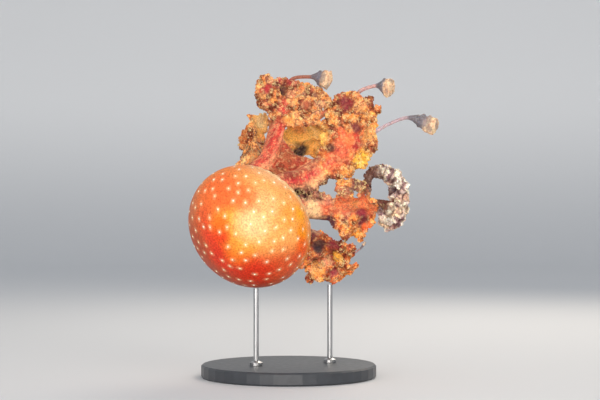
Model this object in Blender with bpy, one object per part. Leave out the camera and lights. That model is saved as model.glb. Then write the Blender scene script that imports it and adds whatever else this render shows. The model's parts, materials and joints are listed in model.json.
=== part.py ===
"""A white-spotted jellyfish, life size, swimming with its bell tilted down on a plain display stand.

The animal is modelled upright in its own frame, in millimetres: +Z from the mouth to the top of the
bell, +X to the side of the bell that faces the visitor, and the origin at the centre of the bell's
widest level. One empty then tilts and lifts the whole animal over the stand, whose base stands on the
floor with its centre at the world's origin.
"""

import math

import bmesh
import bpy
from mathutils import Matrix, Vector

MM = 0.001
GAP = 0.3  # clearance left between two pieces that meet

# The bell: part of an egg-round dome whose margin is drawn in, as in a swimming stroke.
BELL_RADIUS = 60.0
DOME_HEIGHT = 50.0  # top of the bell over its widest level
MARGIN_ANGLE = -24.0  # where the margin starts, in degrees above the widest level
LAPPET_ANGLE = -33.0  # where the notches between the lappets are
LAPPET_DEPTH = 3.0  # degrees that a lappet reaches past its notches
JELLY_AT_TOP = 20.0
JELLY_AT_MARGIN = 2.6
LAPPET_THICKNESS = 1.2
LAPPETS_PER_OCTANT = 4
BELL_STEPS = 48
OUTER_ROWS = 10
INNER_ROWS = 7

# The mouth parts hang from the middle of the bell: four pillars, an eight-sided disc, and an arm on each
# of its sides.
ARMS = 8
FIRST_ARM = 57.5  # azimuth of arm 1, in degrees from +X; the others follow clockwise
DISC_RADIUS = 24.0  # from its middle to a flat side
DISC_TOP = -14.0
DISC_BOTTOM = -30.0
DISC_EDGE = 1.5
PILLARS = 4
PILLAR_RADIUS = 5.0
PILLAR_PLACE = 13.5
PILLAR_STEPS = 10

# Each arm leaves the disc square to its side, passes under the bell's margin and goes through its own
# places, each (outwards from the bell's axis, sideways, down). Split is where its smooth upper part ends,
# width is the half width of that end, reach is how far the right, left and inner wings stand out, and turn
# is how they are turned.
ARM_SHAPES = [
    dict(
        places=[(42, -3, 52), (56, 4, 88), (68, 10, 112), (76, 13, 132)],
        split=0.62, width=11, reach=(51, 22, 12), turn=-56,
    ),
    dict(
        places=[(36, -12, 56), (51, -23, 86), (62, -20, 108), (74, 7, 134)],
        split=0.46, width=12, reach=(34, 27, 12), turn=0,
    ),
    dict(
        places=[(44, -10, 44), (59, -21, 58), (78, -37, 78)],
        split=0.56, width=11, reach=(26, 32, 10), turn=0,
    ),
    dict(
        places=[(52, -3, 39), (67, -16, 43), (90, -29, 45)],
        split=0.42, width=8, reach=(29, 31, 15), turn=0,
    ),
    dict(
        places=[(48, 6, 48), (68, 8, 60), (88, 7, 78)],
        split=0.45, width=9, reach=(16, 16, 12), turn=0,
    ),
    dict(
        places=[(42, 0, 44), (54, 2, 72), (52, 6, 100)],
        split=0.45, width=9, reach=(16, 16, 10), turn=0,
    ),
    dict(
        places=[(18, -15, 66), (17, -19, 98), (5, -9, 150)],
        split=0.58, width=11, reach=(24, 20, 14), turn=0,
    ),
    dict(
        places=[(39, -4, 66), (58, 4, 88), (67, 0, 116)],
        split=0.45, width=8, reach=(23, 24, 12), turn=0,
    ),
]
UNDER_MARGIN = (38.0, 0.0, 29.5)
ROOT_WIDTH = 9.0  # half width of an upper arm where it leaves the disc
UPPER_DEPTH = (6.0, 5.0)  # half depth of an upper arm at its root and at its end
UPPER_STEPS = 10
UPPER_RINGS = 7
WING_ANGLES = (-62.0, 62.0, 180.0)  # right, left and inner, round the arm from its outer side
WING_ROOT = 3.2  # half thickness of a wing at its root
WING_EDGE = 1.4  # and at its edge
LOWER_RINGS = 16
TIP_LENGTH = 6.0

# Curled bands grow from the edge of a wing, at a ring of the lower arm: the pale fringe of arm 3, a long
# hook, the ring-shaped curl of arm 1 and a short frill. Then come their places on the arm and a radius at the
# root and at each of those places.
CURLS = [
    dict(
        name="arm_3_fringe", arm=3, wing=1, ring=10,
        places=[
            (79, -9, 83), (79, -3, 94), (84, -6, 103), (88, -13, 107), (89, -24, 111),
            (90, -35, 107), (90, -45, 99), (90, -50, 88), (88, -49, 77),
        ],
        radii=(1.3, 3.2, 4.5, 6.5, 6.5, 8.0, 9.0, 9.0, 8.5, 6.0), rings=16, steps=8,
    ),
    dict(
        name="arm_1_curl", arm=1, wing=1, ring=12,
        places=[(93, 20, 114), (89, 27, 110), (82, 30, 106), (73.7, 29.5, 103), (67, 26, 101)],
        radii=(1.3, 3.0, 3.4, 3.4, 3.2, 2.4), rings=12, steps=6,
    ),
    dict(
        name="arm_3_frill", arm=3, wing=1, ring=1,
        places=[(73, 9, 56), (78.5, 8, 59.5), (84, 6.5, 63.5), (88, 5, 67)],
        radii=(1.3, 3.2, 4.0, 4.0, 2.6), rings=9, steps=6,
    ),
]

# A thick web joins two arms next to each other, from a share of each arm to another.
WEB_ARMS = (1, 2)
WEB_SHARES = ((0.22, 0.52), (0.15, 0.40))
WEB_THICKNESS = 2.6
WEB_CLEARANCE = 0.9
WEB_RINGS = 8

# Small frills edge two of the upper arms: the angle is round the arm from its outer side.
TRIMS = [
    dict(arm=2, angle=-104.0, start=0.14, end=0.43, radius=2.6),
    dict(arm=3, angle=112.0, start=0.20, end=0.54, radius=4.2),
]
TRIM_RINGS = 10
TRIM_STEPS = 6

# Feelers end in a club. Each grows from the edge of a wing, at a ring of the lower arm, or from the arm's
# tip where it has no wing; then come its places on that arm and the radii of its thread and club.
FEELERS = [
    dict(
        arm=1, wing=None, ring=None, places=[(78, -14, 138), (71, -30, 141)],
        thread=1.9, club=8.5,
    ),
    dict(arm=2, wing=0, ring=14, places=[(99, -11, 143), (109, -27, 146)], thread=1.9, club=8.5),
    dict(
        arm=2, wing=0, ring=7, places=[(100, -49, 122), (113, -61, 126), (117, -85, 130)],
        thread=1.7, club=8.0,
    ),
    dict(arm=4, wing=1, ring=9, places=[(91, 8, 50), (92, 18, 54)], thread=0.9, club=1.2),
    dict(arm=6, wing=1, ring=8, places=[(70, 14, 96), (80, 12, 104)], thread=1.5, club=5.5),
    dict(arm=5, wing=0, ring=11, places=[(96, -6, 92), (106, -10, 98)], thread=1.5, club=5.5),
]
CLUB_START = 0.74  # share of a feeler where its club begins
FEELER_STEPS = 8
FEELER_RINGS = 12

# How the animal is held.
TILT = 52.0  # between the bell's axis and the visitor's line of sight
ROLL = 45.0  # how far the lowered bell is turned to the visitor's left
BELL_CENTRE = Vector((-36.0, -22.0, 141.0))  # over the base's centre

BASE_RADIUS = 82.0
BASE_HEIGHT = 12.0
BASE_EDGE = 1.5
BASE_STEPS = 40
ROD_RADIUS = 2.5
ROD_FOOT_RADIUS = 6.0
ROD_FOOT_HEIGHT = 3.0
ROD_STEPS = 16


class Curve:
    """A smooth curve through places, which leaves the first one in a given direction."""

    def __init__(self, places, direction):
        self.places = places
        self.lengths = [(b - a).length for a, b in zip(places, places[1:])]
        self.length = sum(self.lengths)
        inner = [
            (places[i + 1] - places[i - 1]) / (self.lengths[i - 1] + self.lengths[i])
            for i in range(1, len(places) - 1)
        ]
        self.slopes = [direction, *inner, (places[-1] - places[-2]) / self.lengths[-1]]

    def point(self, t):
        """The place at a share t of the curve; past its ends it goes straight on."""
        along = t * self.length
        if along <= 0:
            return self.places[0] + self.slopes[0] * along
        for i, length in enumerate(self.lengths):
            if along <= length:
                s = along / length
                start = self.places[i] * (1 + 2 * s) + self.slopes[i] * length * s
                end = self.places[i + 1] * (3 - 2 * s) - self.slopes[i + 1] * length * (1 - s)
                return start * (1 - s) ** 2 + end * s**2
            along -= length
        return self.places[-1] + self.slopes[-1] * along

    def direction(self, t):
        return (self.point(t + 0.004) - self.point(t - 0.004)).normalized()


def polar(radius, azimuth, height):
    return Vector((radius * math.cos(azimuth), radius * math.sin(azimuth), height))


def around(centre, first, second, steps):
    """A ring of points round a centre, spanned by two vectors."""
    turns = [math.tau * k / steps for k in range(steps)]
    return [centre + first * math.cos(turn) + second * math.sin(turn) for turn in turns]


def material(name, colour, roughness, metallic=0.0):
    made = bpy.data.materials.new(name)
    made.use_nodes = True
    shader = made.node_tree.nodes["Principled BSDF"]
    shader.inputs["Base Color"].default_value = (*colour, 1.0)
    shader.inputs["Roughness"].default_value = roughness
    shader.inputs["Metallic"].default_value = metallic
    made.diffuse_color = (*colour, 1.0)
    return made


def add_object(name, mesh_data, finish, parent=None):
    """An object from a bmesh in millimetres, shaded smooth except at sharp edges."""
    mesh = bpy.data.meshes.new(name)
    bmesh.ops.scale(mesh_data, vec=(MM, MM, MM), verts=mesh_data.verts)
    bmesh.ops.recalc_face_normals(mesh_data, faces=mesh_data.faces)
    mesh_data.to_mesh(mesh)
    mesh_data.free()
    mesh.shade_smooth()
    mesh.set_sharp_from_angle(angle=math.radians(50))
    mesh.materials.append(finish)
    made = bpy.data.objects.new(name, mesh)
    bpy.context.scene.collection.objects.link(made)
    made.parent = parent
    return made


def loft(name, sections, finish, parent=None, start=None, end=None):
    """A closed solid through sections of equal point count, closed on the points start and end."""
    mesh_data = bmesh.new()
    rings = [[mesh_data.verts.new(point) for point in section] for section in sections]
    count = len(sections[0])
    for lower, upper in zip(rings, rings[1:]):
        for i in range(count):
            j = (i + 1) % count
            mesh_data.faces.new((lower[i], lower[j], upper[j], upper[i]))
    for ring, section, point in ((rings[0], sections[0], start), (rings[-1], sections[-1], end)):
        middle = mesh_data.verts.new(point or sum(section, Vector()) / count)
        for i, vertex in enumerate(ring):
            mesh_data.faces.new((vertex, ring[(i + 1) % count], middle))
    return add_object(name, mesh_data, finish, parent)


def point_on_bell(angle):
    """(radius, height) of the bell's outside at an angle above its widest level."""
    return BELL_RADIUS * math.cos(math.radians(angle)), DOME_HEIGHT * math.sin(math.radians(angle))


def point_in_bell(angle, depth):
    """(radius, height) that far inside the bell's outside, square to it."""
    radius, height = point_on_bell(angle)
    normal = Vector((radius / BELL_RADIUS**2, height / DOME_HEIGHT**2)).normalized()
    return radius - normal.x * depth, height - normal.y * depth


def inner_profile():
    """(radius, height) of the bell's inside, from its margin to its pole."""
    profile = []
    for i in range(INNER_ROWS):
        share = i / INNER_ROWS
        thickness = JELLY_AT_MARGIN + (JELLY_AT_TOP - JELLY_AT_MARGIN) * share**1.6
        profile.append(point_in_bell(MARGIN_ANGLE + (90.0 - MARGIN_ANGLE) * share, thickness))
    return profile + [(0.0, DOME_HEIGHT - JELLY_AT_TOP)]


def ceiling_height(radius):
    """Height of the bell's inside at a distance from its axis."""
    profile = inner_profile()
    for (outer, low), (inner, high) in zip(profile, profile[1:]):
        if inner <= radius <= outer:
            return low + (high - low) * (outer - radius) / (outer - inner)
    return profile[-1][1]


def bell(finish, parent):
    """The dome, turned round its axis: its outside from the pole down to the margin, then its inside."""
    angles = [MARGIN_ANGLE + (90.0 - MARGIN_ANGLE) * i / OUTER_ROWS for i in range(OUTER_ROWS)]
    profile = [point_on_bell(angle) for angle in reversed(angles)] + inner_profile()[:-1]
    turns = [math.tau * k / BELL_STEPS for k in range(BELL_STEPS)]
    sections = [[polar(radius, turn, height) for turn in turns] for radius, height in profile]
    poles = Vector((0, 0, DOME_HEIGHT)), Vector((0, 0, DOME_HEIGHT - JELLY_AT_TOP))
    return loft("bell", sections, finish, parent, *poles)


def margin_octant(number, finish, parent):
    """An eighth of the bell's margin, which ends in thin lappets."""
    steps = 3 * LAPPETS_PER_OCTANT
    gap_angle = math.degrees(GAP / DOME_HEIGHT)
    start = 45.0 * (number - 1) + gap_angle / 2
    top = MARGIN_ANGLE - gap_angle
    middle = (top + LAPPET_ANGLE) / 2
    sections = []
    for i in range(steps + 1):
        azimuth = math.radians(start + (45.0 - gap_angle) * i / steps)
        edge = LAPPET_ANGLE - (LAPPET_DEPTH if i % 3 else 0.0)
        outline = [
            point_on_bell(top),
            point_on_bell(middle),
            point_on_bell(edge),
            point_in_bell(edge, LAPPET_THICKNESS),
            point_in_bell(middle, (JELLY_AT_MARGIN + LAPPET_THICKNESS) / 2),
            point_in_bell(top, JELLY_AT_MARGIN),
        ]
        sections.append([polar(radius, azimuth, height) for radius, height in outline])
    return loft(f"margin_{number}", sections, finish, parent)


def pillar(number, finish, parent):
    """A stout column from the arm disc to the bell's ceiling, whose curve its top follows."""
    azimuth = math.radians(FIRST_ARM + 180.0 / ARMS + 360.0 / PILLARS * (number - 1))
    centre = polar(PILLAR_PLACE, azimuth, 0)
    levels = [(DISC_TOP + GAP, 1.2), (DISC_TOP + 9.0, 0.85), (14.0, 0.9), (0.0, 1.3)]
    sections = []
    for height, width in levels:
        radius = PILLAR_RADIUS * width
        level = centre + Vector((0, 0, height))
        sections.append(around(level, Vector((radius, 0, 0)), Vector((0, radius, 0)), PILLAR_STEPS))
    for point in sections[-1]:
        point.z = ceiling_height(math.hypot(point.x, point.y)) - 1.5 * GAP
    top = centre + Vector((0, 0, ceiling_height(PILLAR_PLACE) - 1.5 * GAP))
    return loft(f"pillar_{number}", sections, finish, parent, end=top)


def arm_disc(finish, parent):
    """The eight-sided disc that the arms spring from, with a flat side for each arm."""
    corner = DISC_RADIUS / math.cos(math.pi / ARMS)
    first = math.radians(FIRST_ARM)
    turns = [first + math.tau * (k + 0.5) / ARMS for k in range(ARMS)]
    levels = [
        (DISC_TOP, 0.88), (DISC_TOP - DISC_EDGE, 1.0),
        (DISC_BOTTOM + DISC_EDGE, 1.0), (DISC_BOTTOM, 0.88),
    ]
    sections = [[polar(corner * width, turn, height) for turn in turns] for height, width in levels]
    return loft("arm_disc", sections, finish, parent)


class Arm:
    """One mouth arm: its spine, the frame that goes along it, and the sections of its two lengths."""

    def __init__(self, number):
        shape = ARM_SHAPES[number - 1]
        azimuth = math.radians(FIRST_ARM - 360.0 / ARMS * (number - 1))
        self.number = number
        self.outwards = polar(1.0, azimuth, 0)
        self.sideways = polar(1.0, azimuth + math.pi / 2, 0)
        self.split = shape["split"]
        self.width = shape["width"]
        self.reach = shape["reach"]
        self.turn = shape["turn"]
        root = self.place(DISC_RADIUS + GAP, 0, -(DISC_TOP + DISC_BOTTOM) / 2)
        places = [self.place(*place) for place in (UNDER_MARGIN, *shape["places"])]
        self.curve = Curve([root, *places], self.outwards)
        self.half_gap = GAP / 2 / self.curve.length

    def place(self, out, side, down):
        return self.outwards * out + self.sideways * side - Vector((0, 0, down))

    def frame(self, t):
        """(centre, direction along, outer side, left side) of the arm."""
        along = self.curve.direction(t)
        reference = self.outwards + Vector((0, 0, 1))
        outer = (reference - along * reference.dot(along)).normalized()
        return self.curve.point(t), along, outer, outer.cross(along)

    def upper_size(self, t):
        """(half width, half depth) of the upper arm."""
        share = t / self.split
        width = ROOT_WIDTH + (self.width - ROOT_WIDTH) * share
        return width, UPPER_DEPTH[0] + (UPPER_DEPTH[1] - UPPER_DEPTH[0]) * share

    def upper_section(self, t):
        centre, _, outer, left = self.frame(t)
        width, depth = self.upper_size(t)
        return around(centre, left * width, outer * depth, UPPER_STEPS)

    def wing(self, wing, share):
        """(middle of a wing's edge, direction across it) at a share of the lower arm."""
        centre, _, outer, left = self.frame(self.split + (1 - self.split) * share)
        envelope = math.sin(math.pi * (0.15 + 0.74 * share)) ** 0.6
        lobes = 1.0 + 0.14 * math.sin(math.tau * (2.4 * share + 0.31 * wing + 0.17 * self.number))
        swing = min(1.0, 4.0 * share) * min(1.0, 20.0 / self.reach[wing])
        sway = 16.0 * swing * math.sin(math.tau * (1.9 * share + 0.4 * wing + 0.23 * self.number))
        angle = math.radians(WING_ANGLES[wing] + self.turn + sway)
        outwards = outer * math.cos(angle) + left * math.sin(angle)
        across = left * math.cos(angle) - outer * math.sin(angle)
        return centre + outwards * self.reach[wing] * envelope * lobes, across

    def ring_share(self, ring):
        """Share of the lower arm at a ring, the first of which stands off the upper arm by a gap."""
        first = self.half_gap / (1 - self.split)
        return first + (1 - first) * ring / (LOWER_RINGS - 1)

    def edge_facet(self, wing, ring):
        """(middle, outward direction) of the flat facet of a wing's edge after a ring."""
        (start, across), (end, _) = (self.wing(wing, self.ring_share(r)) for r in (ring, ring + 1))
        middle = (start + end) / 2
        outwards = across.cross(end - start).normalized()
        centre = self.curve.point(self.split + (1 - self.split) * self.ring_share(ring + 0.5))
        return middle, outwards if outwards.dot(middle - centre) > 0 else -outwards

    def tip(self):
        """(the lower arm's end point, direction in which it points)."""
        end, along, _, _ = self.frame(1)
        return end + along * TIP_LENGTH, along

    def lower_section(self, share):
        """A section with three wings round a solid core."""
        centre, _, outer, left = self.frame(self.split + (1 - self.split) * share)
        half = WING_ROOT * (1.0 - 0.3 * share**3)
        ring = []
        for wing, wing_angle in enumerate(WING_ANGLES):
            angle = math.radians(wing_angle + self.turn)
            root = centre + (outer * math.cos(angle) + left * math.sin(angle)) * half * 1.2
            beside = (left * math.cos(angle) - outer * math.sin(angle)) * half
            edge, across = self.wing(wing, share)
            ring += [root - beside, edge - across * WING_EDGE, edge + across * WING_EDGE, root + beside]
        return ring

    def build_upper(self, finish, parent):
        end = self.split - self.half_gap
        sections = [self.upper_section(end * i / (UPPER_RINGS - 1)) for i in range(UPPER_RINGS)]
        return loft(f"arm_{self.number}_upper", sections, finish, parent)

    def build_lower(self, finish, parent):
        sections = [self.lower_section(self.ring_share(ring)) for ring in range(LOWER_RINGS)]
        start = self.curve.point(self.split + self.half_gap)
        return loft(f"arm_{self.number}_lower", sections, finish, parent, start, self.tip()[0])


def tube(name, curve, radii, steps, finish, parent):
    """A round solid along a curve, with one radius for each of its evenly spaced rings."""
    sections = []
    side = curve.direction(0).orthogonal()
    for i, radius in enumerate(radii):
        t = i / (len(radii) - 1)
        along = curve.direction(t)
        side = (side - along * side.dot(along)).normalized()
        sections.append(around(curve.point(t), side * radius, along.cross(side) * radius, steps))
    return loft(name, sections, finish, parent)


def trim(shape, arms, finish, parent):
    """A lumpy string of small frills along the side of an upper arm, as far off it as a gap."""
    arm = arms[shape["arm"] - 1]
    angle = math.radians(shape["angle"])
    sections = []
    for i in range(TRIM_RINGS):
        t = shape["start"] + (shape["end"] - shape["start"]) * i / (TRIM_RINGS - 1)
        centre, along, outer, left = arm.frame(t)
        width, depth = arm.upper_size(t)
        normal = left * math.sin(angle) + outer * math.cos(angle)
        reach = math.hypot(width * math.sin(angle), depth * math.cos(angle))
        surface = left * (width**2 * math.sin(angle)) + outer * (depth**2 * math.cos(angle))
        ends = min(1.0, 0.5 + 0.25 * min(i, TRIM_RINGS - 1 - i))
        radius = shape["radius"] * ends * (0.84 + 0.16 * math.cos(2.4 * i))
        middle = centre + surface / reach + normal * (radius + GAP)
        sections.append(around(middle, normal * radius, along.cross(normal) * radius, TRIM_STEPS))
    return loft(f"arm_{arm.number}_trim", sections, finish, parent)


def curl(shape, arms, finish, parent):
    """A curled band that grows from the edge of a wing."""
    arm = arms[shape["arm"] - 1]
    edge, outwards = arm.edge_facet(shape["wing"], shape["ring"])
    curve = Curve([edge + outwards * 1.5 * GAP, *(arm.place(*place) for place in shape["places"])], outwards)
    radii = []
    for i in range(shape["rings"]):
        place = i / (shape["rings"] - 1) * (len(shape["radii"]) - 1)
        first = min(int(place), len(shape["radii"]) - 2)
        start, end = shape["radii"][first:first + 2]
        radii.append((start + (end - start) * (place - first)) * (1 + 0.08 * math.cos(2.6 * i)))
    return tube(shape["name"], curve, radii, shape["steps"], finish, parent)


def web(arms, finish, parent):
    """The web between two arms, clear of both."""
    pair = [arms[number - 1] for number in WEB_ARMS]
    sections = []
    for i in range(WEB_RINGS):
        shares = [start + (end - start) * i / (WEB_RINGS - 1) for start, end in WEB_SHARES]
        frames = [arm.frame(t) for arm, t in zip(pair, shares)]
        edges = []
        towards = [frame[0] for frame in reversed(frames)]
        for arm, t, (centre, _, outer, left), other in zip(pair, shares, frames, towards):
            width, depth = arm.upper_size(t)
            across, forward = (other - centre).dot(left), (other - centre).dot(outer)
            scale = 1 / math.hypot(across / width, forward / depth)
            side = left * across + outer * forward
            edges.append(centre + side * scale + side.normalized() * WEB_CLEARANCE)
        along = frames[0][1] + frames[1][1]
        thick = along.cross(edges[1] - edges[0]).normalized() * WEB_THICKNESS / 2
        sections.append([edges[0] - thick, edges[1] - thick, edges[1] + thick, edges[0] + thick])
    return loft("arm_web", sections, finish, parent)


def feeler(number, arms, finish, parent):
    """A long thread that ends in a club."""
    shape = FEELERS[number - 1]
    arm = arms[shape["arm"] - 1]
    if shape["wing"] is None:
        edge, outwards = arm.tip()
    else:
        edge, outwards = arm.edge_facet(shape["wing"], shape["ring"])
    places = [edge + outwards * 1.5 * GAP, *(arm.place(*place) for place in shape["places"])]
    curve = Curve(places, outwards)
    radii = []
    for i in range(FEELER_RINGS):
        share = (i / (FEELER_RINGS - 1) - CLUB_START) / (1.1 - CLUB_START)
        swelling = math.sin(math.pi * max(0.0, share)) ** 0.7
        radii.append(shape["thread"] + (shape["club"] - shape["thread"]) * swelling)
    radii[0] = min(radii[0], 0.9 * WING_EDGE)
    return tube(f"feeler_{number}", curve, radii, FEELER_STEPS, finish, parent)


def bell_floor(x, y, pose):
    """World height of the bell's lower outside over a place, in millimetres."""
    inverse = pose.inverted()
    start, step = inverse @ Vector((x, y, 0)), inverse.to_3x3() @ Vector((0, 0, 1))
    size = Vector((BELL_RADIUS, BELL_RADIUS, DOME_HEIGHT))
    start, step = (Vector(a / b for a, b in zip(v, size)) for v in (start, step))
    half = start.dot(step) / step.dot(step)
    return -half - math.sqrt(half**2 - (start.dot(start) - 1) / step.dot(step))


def stand_rod(name, x, y, top, finish):
    """A rod with a round foot, whose top follows the underside top(x, y) of the piece that it holds."""
    levels = [(BASE_HEIGHT + GAP, ROD_FOOT_RADIUS), (BASE_HEIGHT + ROD_FOOT_HEIGHT, ROD_FOOT_RADIUS)]
    levels += [(BASE_HEIGHT + ROD_FOOT_HEIGHT + 1.5, ROD_RADIUS), (None, ROD_RADIUS)]
    sections = []
    for height, radius in levels:
        centre = Vector((x, y, height or 0))
        sections.append(around(centre, Vector((radius, 0, 0)), Vector((0, radius, 0)), ROD_STEPS))
    for point in sections[-1]:
        point.z = top(point.x, point.y) - GAP
    return loft(name, sections, finish, end=Vector((x, y, top(x, y) - GAP)))


def stand_base(finish):
    levels = [(0, 1), (BASE_EDGE, 0), (BASE_HEIGHT - BASE_EDGE, 0), (BASE_HEIGHT, 1)]
    sections = []
    for height, bevel in levels:
        radius = BASE_RADIUS - bevel * BASE_EDGE
        level = Vector((0, 0, height))
        sections.append(around(level, Vector((radius, 0, 0)), Vector((0, radius, 0)), BASE_STEPS))
    return loft("stand_base", sections, finish)


def pose_matrix():
    """The animal's frame in the world, in millimetres."""
    tilt, roll = math.radians(TILT), math.radians(ROLL)
    side = Vector((math.cos(roll), 0, math.sin(roll)))
    apex = Vector((0, -math.cos(tilt), 0)) - side * math.sin(tilt)
    near = (Vector((0, -1, 0)) - apex * math.cos(tilt)).normalized()
    left = apex.cross(near)
    return Matrix.Translation(BELL_CENTRE) @ Matrix((near, left, apex)).transposed().to_4x4()


def main():
    for old in list(bpy.data.objects):
        bpy.data.objects.remove(old, do_unlink=True)

    jelly = material("orange_jelly", (0.80, 0.24, 0.06), 0.35)
    pale_jelly = material("pale_jelly", (0.85, 0.50, 0.30), 0.35)
    frill = material("yellow_frill", (0.80, 0.40, 0.08), 0.6)
    feeler_jelly = material("cream_jelly", (0.80, 0.68, 0.58), 0.4)
    lacquer = material("grey_lacquer", (0.20, 0.21, 0.22), 0.5)
    steel = material("brushed_steel", (0.62, 0.62, 0.60), 0.3, metallic=1.0)

    pose = pose_matrix()
    body = bpy.data.objects.new("jellyfish", None)
    bpy.context.scene.collection.objects.link(body)
    body.matrix_world = Matrix.Translation(pose.translation * MM) @ pose.to_3x3().to_4x4()

    bell(jelly, body)
    for number in range(1, 9):
        margin_octant(number, jelly, body)
    for number in range(1, PILLARS + 1):
        pillar(number, pale_jelly, body)
    arm_disc(pale_jelly, body)
    arms = [Arm(number) for number in range(1, ARMS + 1)]
    lower_arms = []
    for arm in arms:
        arm.build_upper(pale_jelly, body)
        lower_arms.append(arm.build_lower(frill, body))
    for shape in TRIMS:
        trim(shape, arms, frill, body)
    for shape, finish in zip(CURLS, (feeler_jelly, frill, frill)):
        curl(shape, arms, finish, body)
    web(arms, pale_jelly, body)
    for number in range(1, len(FEELERS) + 1):
        feeler(number, arms, feeler_jelly, body)

    stand_base(lacquer)
    down = pose.to_3x3().inverted() @ Vector((0, 0, -1))
    size = Vector((BELL_RADIUS, BELL_RADIUS, DOME_HEIGHT))
    reach = Vector(d * s for d, s in zip(down, size))
    lowest = Vector(r * s for r, s in zip(reach, size)) / reach.length
    foot = pose @ lowest
    stand_rod("stand_rod_bell", foot.x, foot.y, lambda x, y: bell_floor(x, y, pose), steel)
    held = min((pose @ (v.co / MM) for v in lower_arms[3].data.vertices), key=lambda point: point.z)
    stand_rod("stand_rod_arm", held.x, held.y, lambda x, y: held.z, steel)


main()
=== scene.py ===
import json
import math

import bmesh
import bpy
import numpy as np
from mathutils import Matrix, Vector, noise
from mathutils.kdtree import KDTree

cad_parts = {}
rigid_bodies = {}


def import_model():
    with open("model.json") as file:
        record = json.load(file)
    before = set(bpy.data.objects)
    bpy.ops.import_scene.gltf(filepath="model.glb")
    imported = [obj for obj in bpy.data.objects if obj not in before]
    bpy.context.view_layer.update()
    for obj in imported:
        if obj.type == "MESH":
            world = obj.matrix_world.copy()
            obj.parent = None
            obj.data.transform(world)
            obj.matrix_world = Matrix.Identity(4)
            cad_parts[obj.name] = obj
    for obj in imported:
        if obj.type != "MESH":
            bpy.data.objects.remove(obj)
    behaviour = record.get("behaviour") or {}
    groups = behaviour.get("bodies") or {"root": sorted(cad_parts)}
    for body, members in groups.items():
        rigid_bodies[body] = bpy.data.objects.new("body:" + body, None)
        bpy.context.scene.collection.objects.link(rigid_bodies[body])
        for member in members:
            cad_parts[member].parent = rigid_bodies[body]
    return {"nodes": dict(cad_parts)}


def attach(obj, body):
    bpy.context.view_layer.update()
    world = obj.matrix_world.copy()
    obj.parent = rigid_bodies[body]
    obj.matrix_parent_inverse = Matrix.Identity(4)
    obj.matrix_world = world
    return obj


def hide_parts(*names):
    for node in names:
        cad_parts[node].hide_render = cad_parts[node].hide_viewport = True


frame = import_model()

for startup in {"Cube", "Light", "Camera"} & set(bpy.data.objects.keys()):
    bpy.data.objects.remove(bpy.data.objects[startup])
bpy.context.scene.view_settings.view_transform = "Standard"
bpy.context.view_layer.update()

# The animal is shaped in millimetres in its own frame: x to the side of the bell that faces the
# visitor, z to its top. The stance then turns and lifts it over the stand, as the solids are.
stance = dict(tilt=52.0, roll=45.0, bellCentre=(-36.0, -22.0, 141.0))
mm = 0.001


def stanceMatrix():
    tilt, roll = math.radians(stance["tilt"]), math.radians(stance["roll"])
    side = Vector((math.cos(roll), 0, math.sin(roll)))
    top = Vector((0, -math.cos(tilt), 0)) - side * math.sin(tilt)
    near = (Vector((0, -1, 0)) - top * math.cos(tilt)).normalized()
    turned = Matrix((near, top.cross(near), top)).transposed().to_4x4()
    return Matrix.Translation(stance["bellCentre"]) @ turned


toStand = np.array(stanceMatrix())


def toWorld(points):
    return (np.asarray(points) @ toStand[:3, :3].T + toStand[:3, 3]) * mm


def toAnimal(points):
    return (np.asarray(points) / mm - toStand[:3, 3]) @ toStand[:3, :3]


def linear(code):  # an sRGB hex colour as linear red, green and blue
    channels = [int(code[i:i + 2], 16) / 255 for i in (0, 2, 4)]
    return np.array([c / 12.92 if c <= 0.04045 else ((c + 0.055) / 1.055) ** 2.4 for c in channels])


def addNode(tree, kind, inputs=None, **settings):
    made = tree.nodes.new(kind)
    for name, value in settings.items():
        setattr(made, name, value)
    for socket, value in (inputs or {}).items():
        if isinstance(value, bpy.types.NodeSocket):
            tree.links.new(value, made.inputs[socket])
        else:
            made.inputs[socket].default_value = value
    return made


def smooth(low, high, value):
    share = np.clip((np.asarray(value, float) - low) / (high - low), 0, 1)
    return share * share * (3 - 2 * share)


def unit(vectors):
    return vectors / np.maximum(np.linalg.norm(vectors, axis=-1, keepdims=True), 1e-9)


def newObject(name, mesh, *materials):
    mesh.materials.clear()
    for material in materials:
        mesh.materials.append(material)
    made = bpy.data.objects.new(name, mesh)
    bpy.context.scene.collection.objects.link(made)
    return made


def meshOf(name, points, faces):
    mesh = bpy.data.meshes.new(name)
    mesh.from_pydata([tuple(p) for p in points], [], faces)
    mesh.update()
    return mesh


def pointsOf(mesh):
    points = np.empty(len(mesh.vertices) * 3)
    mesh.vertices.foreach_get("co", points)
    return points.reshape(-1, 3)


def movePoints(mesh, points):
    mesh.vertices.foreach_set("co", points.ravel())
    mesh.update()


def normalsOf(mesh):
    normals = np.empty(len(mesh.vertices) * 3)
    mesh.vertex_normals.foreach_get("vector", normals)
    return normals.reshape(-1, 3)


def setAttribute(mesh, name, values):
    values = np.asarray(values, np.float32)
    if name == "tone":
        made = mesh.attributes.new(name, "FLOAT_COLOR", "POINT")
        opaque = np.hstack([values, np.ones((len(values), 1))]).astype(np.float32)
        made.data.foreach_set("color", opaque.ravel())
    elif values.ndim == 2:
        made = mesh.attributes.new(name, "FLOAT_VECTOR", "POINT")
        made.data.foreach_set("vector", values.ravel())
    else:
        made = mesh.attributes.new(name, "FLOAT", "POINT")
        made.data.foreach_set("value", values)


def readAttribute(mesh, name):
    values = np.empty(len(mesh.vertices), np.float32)
    mesh.attributes[name].data.foreach_get("value", values)
    return values


def evaluated(piece, name):  # the piece with its modifiers applied, as a plain mesh
    graph = bpy.context.evaluated_depsgraph_get()
    made = bpy.data.meshes.new_from_object(
        piece.evaluated_get(graph), preserve_all_data_layers=True, depsgraph=graph)
    made.name = name
    return made


def discard(*pieces):
    for piece in pieces:
        mesh = piece.data
        bpy.data.objects.remove(piece)
        bpy.data.meshes.remove(mesh)


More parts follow.
